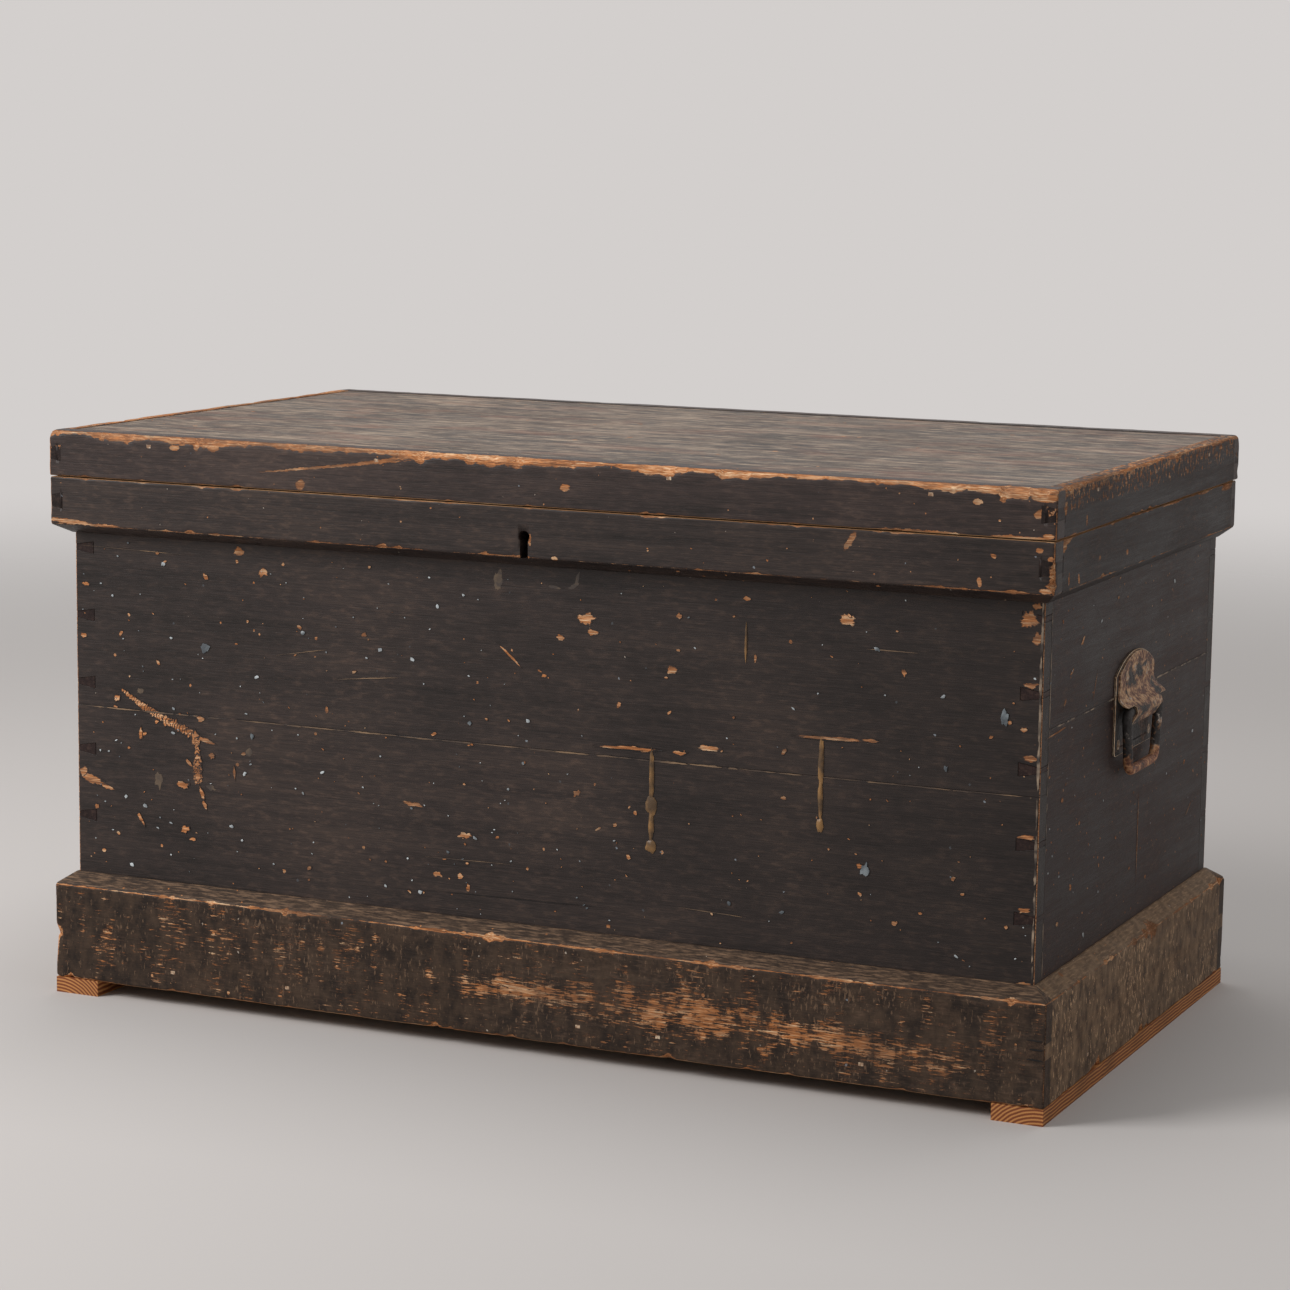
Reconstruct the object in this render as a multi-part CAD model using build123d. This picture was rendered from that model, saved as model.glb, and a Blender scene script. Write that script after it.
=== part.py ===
# Military chest of painted pine: a dovetailed box on a plinth, with a hinged lid, a box lock and two
# iron lift handles.
# Millimetres. +X runs along the front to the viewer's right, +Y to the back, +Z up.
# The origin is under the middle of the chest, on the surface that it stands on.
import os
from math import atan2, cos, degrees, radians, sin, tan

from build123d import *

# Carcass: four walls of two boards each, with through dovetails at the corners
carcass_length = 970.0
carcass_depth = 528.0
wall = 20.0
wall_height = 497.0
bottom_thickness = 16.0
bottom_board_count = 3

# Dovetails: the end boards carry narrow pins, the long boards carry wide tails
pin_width = 5.0
pin_slope = 1 / 6
pin_pitch = 65.0
first_pin_drop = 28.0

# Where each wall's two boards meet, counted in pin pitches down from the top pin, so always between pins
front_joint_pitches = 3.35
back_joint_pitches = 3.15
end_joint_pitches = 2.5

# How far a cutting solid runs past what it cuts
cut_margin = 1.0

# Plinth, with one wide pin at each corner
plinth_height = 103.5
plinth_thickness = 17.0
plinth_bevel = 11.0
plinth_pin_width = 14.0
plinth_pin_height = 50.0

# Runners
runner_height = 15.0
runner_width = 47.0

# Skirt round the top of the walls
skirt_height = 45.0
skirt_front_thickness = 21.5
skirt_end_thickness = 14.0
skirt_back_thickness = 14.0
skirt_bevel = 9.5
skirt_pin_width = 11.0
skirt_below_wall_top = 24.2
bevel_land = 2.0

# Lid: a panel inside a rim that closes over the top of the walls
rim_front_thickness = 20.5
rim_end_thickness = 14.0
rim_back_thickness = 19.0
rim_fit_front = 1.5
rim_fit = 1.0
rim_pin_width = 11.0
rim_proud = 0.7
panel_thickness = 19.0
panel_board_count = 3
seat_gap = 0.3
seam_gap = 1.2

# Butt hinges at the back seam
hinge_spacing = 600.0
hinge_length = 76.0
hinge_leaf = 2.5
hinge_barrel = 9.0
hinge_pin = 4.5
hinge_running_gap = 0.05
hinge_knuckles = 5
knuckle_gap = 0.4
hinge_axis_out = 1.0
hinge_leaf_inset = 1.0
hinge_notch_gap = 0.5

# Fasteners: countersunk screws hold the iron fittings, cut nails hold the boards
fitting_screw_head = 8.0
fitting_screw_shank = 4.0
fitting_screw_length = 12.0
lock_screw_head = 6.0
lock_screw_shank = 3.0
lock_screw_length = 14.0
lock_screw_inset = 5.0
nail_width = 4.5
nail_thickness = 3.0
nail_grip_length = 16.0
plinth_nail_height = 19.0

# Where the nails stand, as shares of the chest's length or depth from its middle
plinth_nails_long = (-0.381, -0.251, 0.062, 0.144, 0.345)
plinth_nails_end = (-0.3, 0.0, 0.3)
rim_nails_long = (-0.4, -0.15, 0.15, 0.4)
rim_nails_end = (-0.33, 0.0, 0.33)
runner_nails_deep = (-0.38, -0.07, 0.07, 0.38)
bottom_nails_long = (-0.33, -0.2, -0.05, 0.05, 0.2, 0.38)
bottom_nails_end = (-0.2, 0.03, 0.22)

# Box lock behind the keyhole
lock_x = 4.5
lock_width = 86.0
lock_height = 80.0
lock_depth = 14.0
lock_sheet = 1.5
selvedge_width = 104.0
selvedge_thickness = 2.0
keyhole_drop = 50.5
keyhole_round = 11.0
keyhole_slot = 8.0
keyhole_length = 25.0
drill_pin = 4.0
drill_pin_clearance = 1.0
bolt_thickness = 5.0
bolt_length = 62.0
bolt_height = 17.0
bolt_travel = 8.0
bolt_slide_gap = 0.3
prong_width = 3.5
prong_height = 6.0
staple_spacing = 44.0
staple_width = 8.5
staple_wire = 2.0
staple_thickness = 4.0
staple_drop = 15.0
staple_clearance = 1.2
spring_thickness = 0.8
spring_bend = 6.0
spring_rise = 4.0
spring_end_gap = 9.0

# Lift handles
handle_plate_width = 118.0
handle_plate_height = 91.0
handle_plate_arch = 18.0
handle_plate_thickness = 2.0
handle_plate_corner = 5.0
handle_bottom = 283.0
handle_pivot_height = 40.0
handle_pivot_out = 10.0
bail_rod = 9.0
bail_top_width = 100.0
bail_bottom_width = 80.0
bail_drop = 55.0
bail_corner = 11.0
bail_shoulder = 6.3
hood_sheet = 2.0
hood_gap = 0.5
hood_width = 120.0
hood_neck_width = 104.0
hood_tongue_width = 78.0
hood_tongue_drop = 12.0
hood_ear_clearance = 1.2
hood_rise_angle = 50.0
hood_fall_angle = -30.0
hood_bend_share = 2.5
hood_edge = 1.0
hood_neck_rise = 4.0
hood_ear_drop = 9.0
hood_tongue_taper = 4.0
hood_corner_radii = (6.0, 4.0, 3.0, 2.0)
hood_screw_share = 0.28
hood_screw_drop = 19.8
plate_screw_share = 0.4
plate_screw_rise = 10.0

# Heights worked out from the sizes above
bottom_underside = runner_height
wall_bottom = bottom_underside + bottom_thickness
wall_top = wall_bottom + wall_height
plinth_bottom = runner_height
plinth_top = plinth_bottom + plinth_height
skirt_top = wall_top - skirt_below_wall_top
skirt_edge = skirt_top - skirt_height
skirt_bottom = skirt_edge - skirt_bevel
rim_bottom = skirt_top + seam_gap
panel_bottom = wall_top + seat_gap
panel_top = panel_bottom + panel_thickness
rim_top = panel_top + rim_proud


def grown(rectangle, end, front, back):
    """A rectangle (left, right, front, back) moved outwards on each side."""
    left, right, low, high = rectangle
    return left - end, right + end, low - front, high + back


# Plan outlines. The chest is centred on its lid, whose front overhangs more than its back
front_overhang = rim_fit_front + rim_front_thickness
back_overhang = rim_fit + rim_back_thickness
carcass_middle = (front_overhang - back_overhang) / 2
carcass_outer = (-carcass_length / 2, carcass_length / 2,
                 carcass_middle - carcass_depth / 2, carcass_middle + carcass_depth / 2)
carcass_inner = grown(carcass_outer, -wall, -wall, -wall)
skirt_outer = grown(carcass_outer, skirt_end_thickness, skirt_front_thickness, skirt_back_thickness)
plinth_outer = grown(carcass_outer, plinth_thickness, plinth_thickness, plinth_thickness)
rim_inner = grown(carcass_outer, rim_fit, rim_fit_front, rim_fit)
rim_outer = grown(rim_inner, rim_end_thickness, rim_front_thickness, rim_back_thickness)

hinge_axis_y = skirt_outer[3] + hinge_axis_out
hinge_axis_z = skirt_top + seam_gap / 2
keyhole_z = wall_top - keyhole_drop


def block(x0, x1, y0, y1, z0, z1):
    """A square-edged solid between two corners."""
    return Pos((x0 + x1) / 2, (y0 + y1) / 2, (z0 + z1) / 2) * Box(x1 - x0, y1 - y0, z1 - z0)


def slab(rectangle, z0, z1):
    """A square-edged solid over a plan outline."""
    return block(*rectangle, z0, z1)


def rod(start, end, radius):
    """A round bar between two points."""
    axis = Vector(*end) - Vector(*start)
    place = Plane(origin=start, z_dir=axis)
    return place * Cylinder(radius, axis.length, align=(Align.CENTER, Align.CENTER, Align.MIN))


def outline_at(rectangle, z):
    """The plan outline as a face at one height."""
    left, right, low, high = rectangle
    return Pos((left + right) / 2, (low + high) / 2, z) * Rectangle(right - left, high - low)


def ring(outer, inner, z0, z1, top_bevel=0.0, bottom_bevel=0.0):
    """Four boards' worth of solid round the box, sloped outside at its top or bottom edge."""
    land = grown(inner, bevel_land, bevel_land, bevel_land)
    solid = slab(outer, z0 + bottom_bevel, z1 - top_bevel)
    if top_bevel:
        solid += loft([outline_at(outer, z1 - top_bevel), outline_at(land, z1)], ruled=True)
    if bottom_bevel:
        solid += loft([outline_at(land, z0), outline_at(outer, z0 + bottom_bevel)], ruled=True)
    return solid - slab(inner, z0 - cut_margin, z1 + cut_margin)


def dovetail_pin(outer, inner, end, side, z, width):
    """One pin of an end board: narrow at its tip, wider at its root, as deep as the long board is thick."""
    x_tip = outer[1] if end > 0 else outer[0]
    x_root = inner[1] if end > 0 else inner[0]
    y_face = outer[3] if side > 0 else outer[2]
    y_root = inner[3] if side > 0 else inner[2]
    flare = abs(x_tip - x_root) * pin_slope
    tip = width / 2
    root = tip + flare
    corners = [(x_tip, y_face, z - tip), (x_tip, y_face, z + tip), (x_root, y_face, z + root),
               (x_root, y_face, z - root)]
    section = make_face(Polyline(*corners, close=True))
    return extrude(section, amount=abs(y_face - y_root), dir=(0, -side, 0))


def dovetailed(solid, outer, inner, pin_heights, width):
    """Split a ring into its four boards, joined at the corners by through dovetails."""
    high = 10 * wall_height
    boards = {}
    pins = {(end, side): [dovetail_pin(outer, inner, end, side, z, width) for z in pin_heights]
            for end in (-1, 1) for side in (-1, 1)}
    for name, side in (("front", -1), ("back", 1)):
        depths = (outer[2], inner[2]) if side < 0 else (inner[3], outer[3])
        strip = (outer[0], outer[1], *depths)
        boards[name] = (solid & slab(strip, -high, high)) - pins[-1, side] - pins[1, side]
    for name, end in (("left", -1), ("right", 1)):
        widths = (outer[0], inner[0]) if end < 0 else (inner[1], outer[1])
        strip = (*widths, inner[2], inner[3])
        board = solid & slab(strip, -high, high)
        for side in (-1, 1):
            board += [pin & solid for pin in pins[end, side]]
        boards[name] = board
    return boards


def split_at(board, z):
    """The lower and upper board of a wall that is glued up from two."""
    everywhere = grown(carcass_outer, wall, wall, wall)
    return board & slab(everywhere, wall_bottom, z), board & slab(everywhere, z, wall_top)


def strips_along(rectangle, count, z0, z1):
    """Boards that run lengthwise side by side, front to back."""
    left, right, low, high = rectangle
    step = (high - low) / count
    return [block(left, right, low + step * i, low + step * (i + 1), z0, z1) for i in range(count)]


def screw(place, direction, head, shank, length):
    """A countersunk screw whose head is flush at place and whose point goes along direction."""
    taper = (head - shank) / 2
    low = (Align.CENTER, Align.CENTER, Align.MIN)
    solid = Cone(head / 2, shank / 2, taper, align=low)
    solid += Pos(0, 0, taper) * Cylinder(shank / 2, length - taper, align=low)
    return Plane(origin=place, z_dir=direction) * solid


def fitting_screw(place, direction, length=fitting_screw_length):
    """A screw of the size that holds the handles and the hinges."""
    return screw(place, direction, fitting_screw_head, fitting_screw_shank, length)


def cut_nail(place, direction, along, length):
    """A cut nail driven flush at place: a flat iron pin, its wide side along the grain of the board."""
    low = (Align.CENTER, Align.CENTER, Align.MIN)
    shank = Box(nail_width, nail_thickness, length, align=low)
    return Plane(origin=place, x_dir=along, z_dir=direction) * shank


def corner_offsets(points, distance):
    """An open line of points moved sideways by distance, corner by corner."""
    moved = []
    for i, (x, y) in enumerate(points):
        before = points[max(i - 1, 0)]
        after = points[min(i + 1, len(points) - 1)]
        into = atan2(y - before[1], x - before[0]) if i else atan2(after[1] - y, after[0] - x)
        out = atan2(after[1] - y, after[0] - x) if i < len(points) - 1 else into
        half = (out - into) / 2
        reach = distance / cos(half)
        moved.append((x - reach * sin(into + half), y + reach * cos(into + half)))
    return moved


def bent_sheet(points, radii, thickness, plane, amount):
    """Sheet metal bent along a line of points, with the bend radii of its middle, extruded both ways."""
    turns = []
    for a, b, c in zip(points, points[1:], points[2:]):
        turn = (b[0] - a[0]) * (c[1] - b[1]) - (b[1] - a[1]) * (c[0] - b[0])
        turns.append(1 if turn > 0 else -1)
    edges = []
    for side in (1, -1):
        line = corner_offsets(points, side * thickness / 2)
        bends = [r - turn * side * thickness / 2 for r, turn in zip(radii, turns)]
        edges.append((line, FilletPolyline(*line, radius=bends)))
    (upper, upper_line), (lower, lower_line) = edges
    outline = upper_line + lower_line + Line(upper[0], lower[0]) + Line(upper[-1], lower[-1])
    section = make_face(outline.edges())
    return extrude(plane * section, amount=amount, both=True)


def save(name, solid):
    export_step(solid, f"parts/{name}.step")


def carcass_boards():
    """Walls: two boards high, the joint at its own height on the front, the back and the ends."""
    pin_heights = []
    z = wall_top - first_pin_drop
    while z > wall_bottom + pin_width:
        pin_heights.append(z)
        z -= pin_pitch
    walls = ring(carcass_outer, carcass_inner, wall_bottom, wall_top)
    boards = dovetailed(walls, carcass_outer, carcass_inner, pin_heights, pin_width)
    joints = {"front": front_joint_pitches, "back": back_joint_pitches, "left": end_joint_pitches,
              "right": end_joint_pitches}
    nodes = {}
    for name, board in boards.items():
        lower, upper = split_at(board, pin_heights[0] - joints[name] * pin_pitch)
        nodes[f"{name}_board_lower"] = lower
        nodes[f"{name}_board_upper"] = upper
    return nodes


def bottom_boards():
    strips = strips_along(carcass_outer, bottom_board_count, bottom_underside, wall_bottom)
    return {f"bottom_board_{i + 1}": strip for i, strip in enumerate(strips)}


def plinth_boards():
    solid = ring(plinth_outer, carcass_outer, plinth_bottom, plinth_top, top_bevel=plinth_bevel)
    pin_at = plinth_bottom + plinth_pin_height
    boards = dovetailed(solid, plinth_outer, carcass_outer, [pin_at], plinth_pin_width)
    return {f"plinth_{name}": board for name, board in boards.items()}


def skirt_boards():
    solid = ring(skirt_outer, carcass_outer, skirt_bottom, skirt_top, bottom_bevel=skirt_bevel)
    middle = (skirt_edge + skirt_top) / 2
    boards = dovetailed(solid, skirt_outer, carcass_outer, [middle], skirt_pin_width)
    return {f"skirt_{name}": board for name, board in boards.items()}


def lid_boards():
    solid = ring(rim_outer, rim_inner, rim_bottom, rim_top)
    middle = (rim_bottom + rim_top) / 2
    boards = dovetailed(solid, rim_outer, rim_inner, [middle], rim_pin_width)
    nodes = {f"lid_rim_{name}": board for name, board in boards.items()}
    strips = strips_along(rim_inner, panel_board_count, panel_bottom, panel_top)
    for i, strip in enumerate(strips):
        nodes[f"lid_board_{i + 1}"] = strip
    return nodes


def runners():
    nodes = {}
    for name, end in (("left", -1), ("right", 1)):
        outer = end * plinth_outer[1]
        inner = outer - end * runner_width
        nodes[f"runner_{name}"] = block(min(outer, inner), max(outer, inner), plinth_outer[2],
                                        plinth_outer[3], 0, runner_height)
    return nodes


def hinge(x):
    """One butt hinge: both leaves and the pin, and what is cut from the boards to let it in."""
    half = hinge_length / 2
    barrel = hinge_barrel / 2
    bore = hinge_pin / 2 + hinge_running_gap
    axis_at = (hinge_axis_y, hinge_axis_z)
    pitch = hinge_length / hinge_knuckles
    inner_edge = rim_inner[3] + hinge_leaf_inset
    plates = {
        "body": block(x - half, x + half, inner_edge, hinge_axis_y, skirt_top - hinge_leaf, skirt_top),
        "lid": block(x - half, x + half, inner_edge, hinge_axis_y, rim_bottom, rim_bottom + hinge_leaf),
    }
    hole = rod((x - half - cut_margin, *axis_at), (x + half + cut_margin, *axis_at), bore)
    leaves = {}
    for name, first in (("body", 0), ("lid", 1)):
        leaf = plates[name]
        for i in range(hinge_knuckles):
            start = x - half + pitch * i
            if i % 2 == first:
                low = start + (knuckle_gap / 2 if i else 0)
                high = start + pitch - (knuckle_gap / 2 if i < hinge_knuckles - 1 else 0)
                leaf += rod((low, *axis_at), (high, *axis_at), barrel)
            else:
                low = start - (knuckle_gap / 2 if i else 0)
                high = start + pitch + (knuckle_gap / 2 if i < hinge_knuckles - 1 else 0)
                leaf -= rod((low, *axis_at), (high, *axis_at), barrel + hinge_notch_gap)
        leaves[name] = leaf - hole
    notch = rod((x - half - hinge_notch_gap, *axis_at), (x + half + hinge_notch_gap, *axis_at),
                barrel + hinge_notch_gap)
    pin = rod((x - half, *axis_at), (x + half, *axis_at), hinge_pin / 2)
    return leaves, pin, plates, notch


def hinge_screws(x):
    """Three screws down into the skirt and three up into the rim."""
    middle = (rim_inner[3] + hinge_leaf_inset + hinge_axis_y - hinge_barrel / 2) / 2
    places = [x + step * hinge_length / 3 for step in (-1, 0, 1)]
    down = [fitting_screw((px, middle, skirt_top), (0, 0, -1)) for px in places]
    up = [fitting_screw((px, middle, rim_bottom), (0, 0, 1)) for px in places]
    return down, up


def keyhole_cut(y0, y1, length):
    """Round top and a straight slot below it, from y0 to y1."""
    middle = (y0 + y1) / 2
    depth = y1 - y0
    top = Pos(lock_x, middle, keyhole_z) * Rot(90, 0, 0) * Cylinder(keyhole_round / 2, depth)
    slot = block(lock_x - keyhole_slot / 2, lock_x + keyhole_slot / 2, y0, y1,
                 keyhole_z + keyhole_round / 2 - length, keyhole_z)
    return top + slot


lock_face = carcass_inner[2]
lock_back = lock_face - lock_depth
lock_bottom = wall_top - lock_height
bolt_y = (lock_back + lock_face) / 2
staple_top = panel_bottom
staple_tip = staple_top - staple_drop
prong_z = (staple_top + staple_tip + staple_wire) / 2 - staple_clearance / 2
bolt_top = staple_tip - staple_clearance
staple_places = [lock_x - staple_spacing / 2, lock_x + staple_spacing / 2]


def lock_parts():
    """A sheet-iron box let into the front wall: case with its selvedge, cover, drill pin, bolt and spring."""
    half = lock_width / 2
    shell = block(lock_x - half, lock_x + half, lock_back, lock_face, lock_bottom, wall_top)
    hollow = block(lock_x - half + lock_sheet, lock_x + half - lock_sheet, lock_back + lock_sheet, lock_face,
                   lock_bottom + lock_sheet, wall_top - selvedge_thickness)
    selvedge = block(lock_x - selvedge_width / 2, lock_x + selvedge_width / 2, lock_back, lock_face,
                     wall_top - selvedge_thickness, wall_top)
    key_way = keyhole_cut(lock_back - cut_margin, lock_back + lock_sheet + cut_margin, keyhole_length)
    case = shell - hollow + selvedge - key_way
    for x in staple_places:
        slot_x = staple_thickness / 2 + staple_clearance
        slot_y = staple_width / 2 + staple_clearance
        case -= block(x - slot_x, x + slot_x, bolt_y - slot_y, bolt_y + slot_y,
                      wall_top - 2 * selvedge_thickness, wall_top + cut_margin)

    cover = block(lock_x - half + lock_sheet, lock_x + half - lock_sheet, lock_face - lock_sheet, lock_face,
                  lock_bottom + lock_sheet, wall_top - selvedge_thickness)
    pin_tip = lock_back + lock_sheet + drill_pin_clearance
    key_pin = rod((lock_x, lock_face - lock_sheet, keyhole_z), (lock_x, pin_tip, keyhole_z), drill_pin / 2)

    # Each prong stands off its arm by the bolt's travel, so that the arm stops short of the staple
    bolt_bottom = bolt_top - bolt_height
    arms = [x - staple_thickness / 2 - staple_clearance - bolt_travel for x in staple_places]
    tail = arms[0] - 2 * prong_width
    bolt = block(tail, tail + bolt_length, bolt_y - bolt_thickness / 2, bolt_y + bolt_thickness / 2,
                 bolt_bottom, bolt_top)
    for arm in arms:
        y0, y1 = bolt_y - prong_width / 2, bolt_y + prong_width / 2
        bolt += block(arm - prong_width, arm + bolt_travel, y0, y1, prong_z - prong_height / 2,
                      prong_z + prong_height / 2)
        bolt += block(arm - prong_width, arm, y0, y1, bolt_bottom, prong_z)
    talon = drill_pin
    bolt -= block(lock_x - talon, lock_x + talon, lock_back, lock_face, bolt_bottom - cut_margin,
                  bolt_bottom + talon)

    rail_top = bolt_bottom - bolt_slide_gap
    for start in (tail + bolt_travel, tail + bolt_length - 2 * prong_width):
        case += block(start, start + prong_width, lock_back + lock_sheet, lock_face - lock_sheet,
                      rail_top - lock_sheet, rail_top)

    spring_y = (lock_face - lock_sheet - bolt_y - bolt_thickness / 2) / 2
    left = lock_x - half + lock_sheet
    low = rail_top - 8 * spring_thickness
    free_end = (left + lock_width / 2 - spring_end_gap, low + spring_rise)
    line = [(left, low), (left + lock_width / 4, low), free_end]
    plane = Plane(origin=(0, lock_face - lock_sheet - spring_y, 0), x_dir=(1, 0, 0), z_dir=(0, -1, 0))
    spring = bent_sheet(line, [spring_bend], spring_thickness, plane, spring_y)
    return case, cover, key_pin, bolt, spring


def link_plate():
    """The plate under the lid with the two staples that the bolt passes through."""
    plate = block(lock_x - selvedge_width / 2, lock_x + selvedge_width / 2, lock_back, lock_face,
                  panel_bottom, panel_bottom + selvedge_thickness)
    for x in staple_places:
        x0, x1 = x - staple_thickness / 2, x + staple_thickness / 2
        outer = block(x0, x1, bolt_y - staple_width / 2, bolt_y + staple_width / 2, staple_tip, panel_bottom)
        eye = block(x0, x1, bolt_y - staple_width / 2 + staple_wire, bolt_y + staple_width / 2 - staple_wire,
                    staple_tip + staple_wire, panel_bottom)
        plate += outer - eye
    return plate


def lock_screws():
    """Two down through the selvedge into the wall, and two up through the link plate into the lid."""
    reach = selvedge_width / 2 - lock_screw_inset
    places = [lock_x - reach, lock_x + reach]
    size = (lock_screw_head, lock_screw_shank, lock_screw_length)
    down = [screw((x, bolt_y, wall_top), (0, 0, -1), *size) for x in places]
    up = [screw((x, bolt_y, panel_bottom), (0, 0, 1), *size) for x in places]
    return down, up


def arched(width, bottom, spring_line, top):
    """A flat outline with an arched top and rounded lower corners, in its own x and y."""
    half = width / 2
    outline = Line((-half, spring_line), (-half, bottom)) + Line((-half, bottom), (half, bottom))
    outline += Line((half, bottom), (half, spring_line))
    outline += ThreePointArc((half, spring_line), (0, top), (-half, spring_line))
    face = make_face(outline.edges())
    corners = face.vertices().sort_by(Axis.Y)[:2]
    return fillet(corners, handle_plate_corner)


def hood_outline():
    """The hood seen square on: arched head, waist, ears over the bail's shoulders and a tongue below."""
    pivot = handle_bottom + handle_pivot_height
    top = handle_bottom + handle_plate_height
    spring_line = top - handle_plate_arch
    neck = (spring_line + pivot) / 2 + hood_neck_rise
    ear_bottom = pivot + bail_rod / 2 + hood_ear_clearance
    waist = hood_neck_width / 2
    ear = hood_width / 2
    tongue = hood_tongue_width / 2
    low = pivot - hood_tongue_drop - 2 * hood_sheet
    shoulder = spring_line + hood_edge
    half = [(waist, shoulder), (waist, neck), (ear, neck - hood_ear_drop), (ear, ear_bottom),
            (tongue, ear_bottom), (tongue - hood_tongue_taper, low)]
    right = FilletPolyline(*half, radius=list(hood_corner_radii))
    left = mirror(right, about=Plane.YZ)
    bottom = Line((-half[-1][0], low), (half[-1][0], low))
    arch = ThreePointArc((waist, shoulder), (0, top - hood_edge), (-waist, shoulder))
    return make_face((right + left + bottom + arch).edges())


def handle(end):
    """One lift handle on the end wall: back plate, hood, bail and screws. It is worked out on the right
    and turned round to the left."""
    face_x = carcass_outer[1]
    pivot = handle_bottom + handle_pivot_height
    top = handle_bottom + handle_plate_height
    square_on = Plane(origin=(face_x, carcass_middle, 0), x_dir=(0, 1, 0), z_dir=(1, 0, 0))

    plate_face = square_on * arched(handle_plate_width, handle_bottom, top - handle_plate_arch, top)
    plate = extrude(plate_face, amount=handle_plate_thickness, dir=(1, 0, 0))

    # The hood's section: flat on the plate, out over the bar, then a tongue that closes in below it
    middle_radius = bail_rod / 2 + hood_gap + hood_sheet / 2
    flat_at = handle_plate_thickness + hood_sheet / 2
    rise = radians(hood_rise_angle)
    fall = radians(hood_fall_angle)
    first = (handle_pivot_out + middle_radius * cos(rise), pivot + middle_radius * sin(rise))
    last = (handle_pivot_out + middle_radius * cos(fall), pivot + middle_radius * sin(fall))
    run_back = (first[0] - flat_at) / sin(rise)
    start_bend = (flat_at, first[1] + run_back * cos(rise))
    corner_reach = middle_radius * tan((rise - fall) / 2)
    over_bar = (first[0] + corner_reach * sin(rise), first[1] - corner_reach * cos(rise))
    drop = hood_tongue_drop - (pivot - last[1])
    tongue_end = (last[0] + drop * tan(fall), last[1] - drop)
    line = [(flat_at, top), start_bend, over_bar, tongue_end]
    section_plane = Plane(origin=(face_x, carcass_middle, 0), x_dir=(1, 0, 0), z_dir=(0, -1, 0))
    bends = [hood_bend_share * middle_radius, middle_radius]
    sheet = bent_sheet(line, bends, hood_sheet, section_plane, hood_width)
    hood = sheet & extrude(square_on * hood_outline(), amount=4 * handle_pivot_out, dir=(1, 0, 0))

    # The bail: a closed loop of round bar, wider at its top than at its bottom
    bar_x = face_x + handle_pivot_out
    hang = Plane(origin=(bar_x, carcass_middle, 0), x_dir=(0, 1, 0), z_dir=(1, 0, 0))
    shape = [(-bail_top_width / 2, pivot), (bail_top_width / 2, pivot),
             (bail_bottom_width / 2, pivot - bail_drop), (-bail_bottom_width / 2, pivot - bail_drop)]
    path = hang * FilletPolyline(*shape, radius=[bail_shoulder, bail_shoulder, bail_corner, bail_corner],
                                 close=True)
    begin = Plane(origin=path @ 0, z_dir=path % 0)
    bail = sweep(begin * Circle(bail_rod / 2), path=path)

    screws = []
    for share in (-hood_screw_share, hood_screw_share):
        place = (face_x + handle_plate_thickness + hood_sheet, carcass_middle + share * handle_plate_width,
                 top - hood_screw_drop)
        screws.append(fitting_screw(place, (-1, 0, 0), fitting_screw_length + hood_sheet))
    for share in (-plate_screw_share, plate_screw_share):
        place = (face_x + handle_plate_thickness, carcass_middle + share * handle_plate_width,
                 handle_bottom + plate_screw_rise)
        screws.append(fitting_screw(place, (-1, 0, 0)))
    parts = {"backplate": plate - screws, "hood": hood - screws, "bail": bail}
    if end < 0:
        turn = Pos(0, carcass_middle, 0) * Rot(0, 0, 180) * Pos(0, -carcass_middle, 0)
        parts = {name: turn * solid for name, solid in parts.items()}
        screws = [turn * solid for solid in screws]
    return parts, screws


def nailed_round(outline, z, length, long_shares, end_shares):
    """Cut nails driven level into all four sides of a frame of boards."""
    left, right, low, high = outline
    nails = []
    for share in long_shares:
        x = share * carcass_length
        nails.append(cut_nail((x, low, z), (0, 1, 0), (1, 0, 0), length))
        nails.append(cut_nail((x, high, z), (0, -1, 0), (1, 0, 0), length))
    for share in end_shares:
        y = carcass_middle + share * carcass_depth
        nails.append(cut_nail((left, y, z), (1, 0, 0), (0, 1, 0), length))
        nails.append(cut_nail((right, y, z), (-1, 0, 0), (0, 1, 0), length))
    return nails


def board_nails():
    """Nails that hold the plinth, the lid's rim, the bottom boards and the runners."""
    plinth_z = plinth_bottom + plinth_nail_height
    plinth = nailed_round(plinth_outer, plinth_z, plinth_thickness + nail_grip_length, plinth_nails_long,
                          plinth_nails_end)
    rim_z = (panel_bottom + panel_top) / 2
    rim = nailed_round(rim_outer, rim_z, rim_front_thickness + nail_grip_length, rim_nails_long,
                       rim_nails_end)
    runner, bottom = [], []
    for end in (-1, 1):
        x = end * (plinth_outer[1] - runner_width / 2)
        for share in runner_nails_deep:
            place = (x, carcass_middle + share * carcass_depth, 0)
            runner.append(cut_nail(place, (0, 0, 1), (0, 1, 0), runner_height + nail_grip_length))
        for share in bottom_nails_end:
            place = (end * (carcass_length - wall) / 2, carcass_middle + share * carcass_depth,
                     bottom_underside)
            bottom.append(cut_nail(place, (0, 0, 1), (0, 1, 0), bottom_thickness + nail_grip_length))
    for share in bottom_nails_long:
        for y in (carcass_outer[2] + wall / 2, carcass_outer[3] - wall / 2):
            bottom.append(cut_nail((share * carcass_length, y, bottom_underside), (0, 0, 1), (1, 0, 0),
                                   bottom_thickness + nail_grip_length))
    return {"plinth_nails": plinth, "rim_nails": rim, "runner_nails": runner, "bottom_nails": bottom}


def group(solids):
    """Identical fasteners kept together as separate solids."""
    return Compound(children=[solid.solid() for solid in solids])


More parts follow.
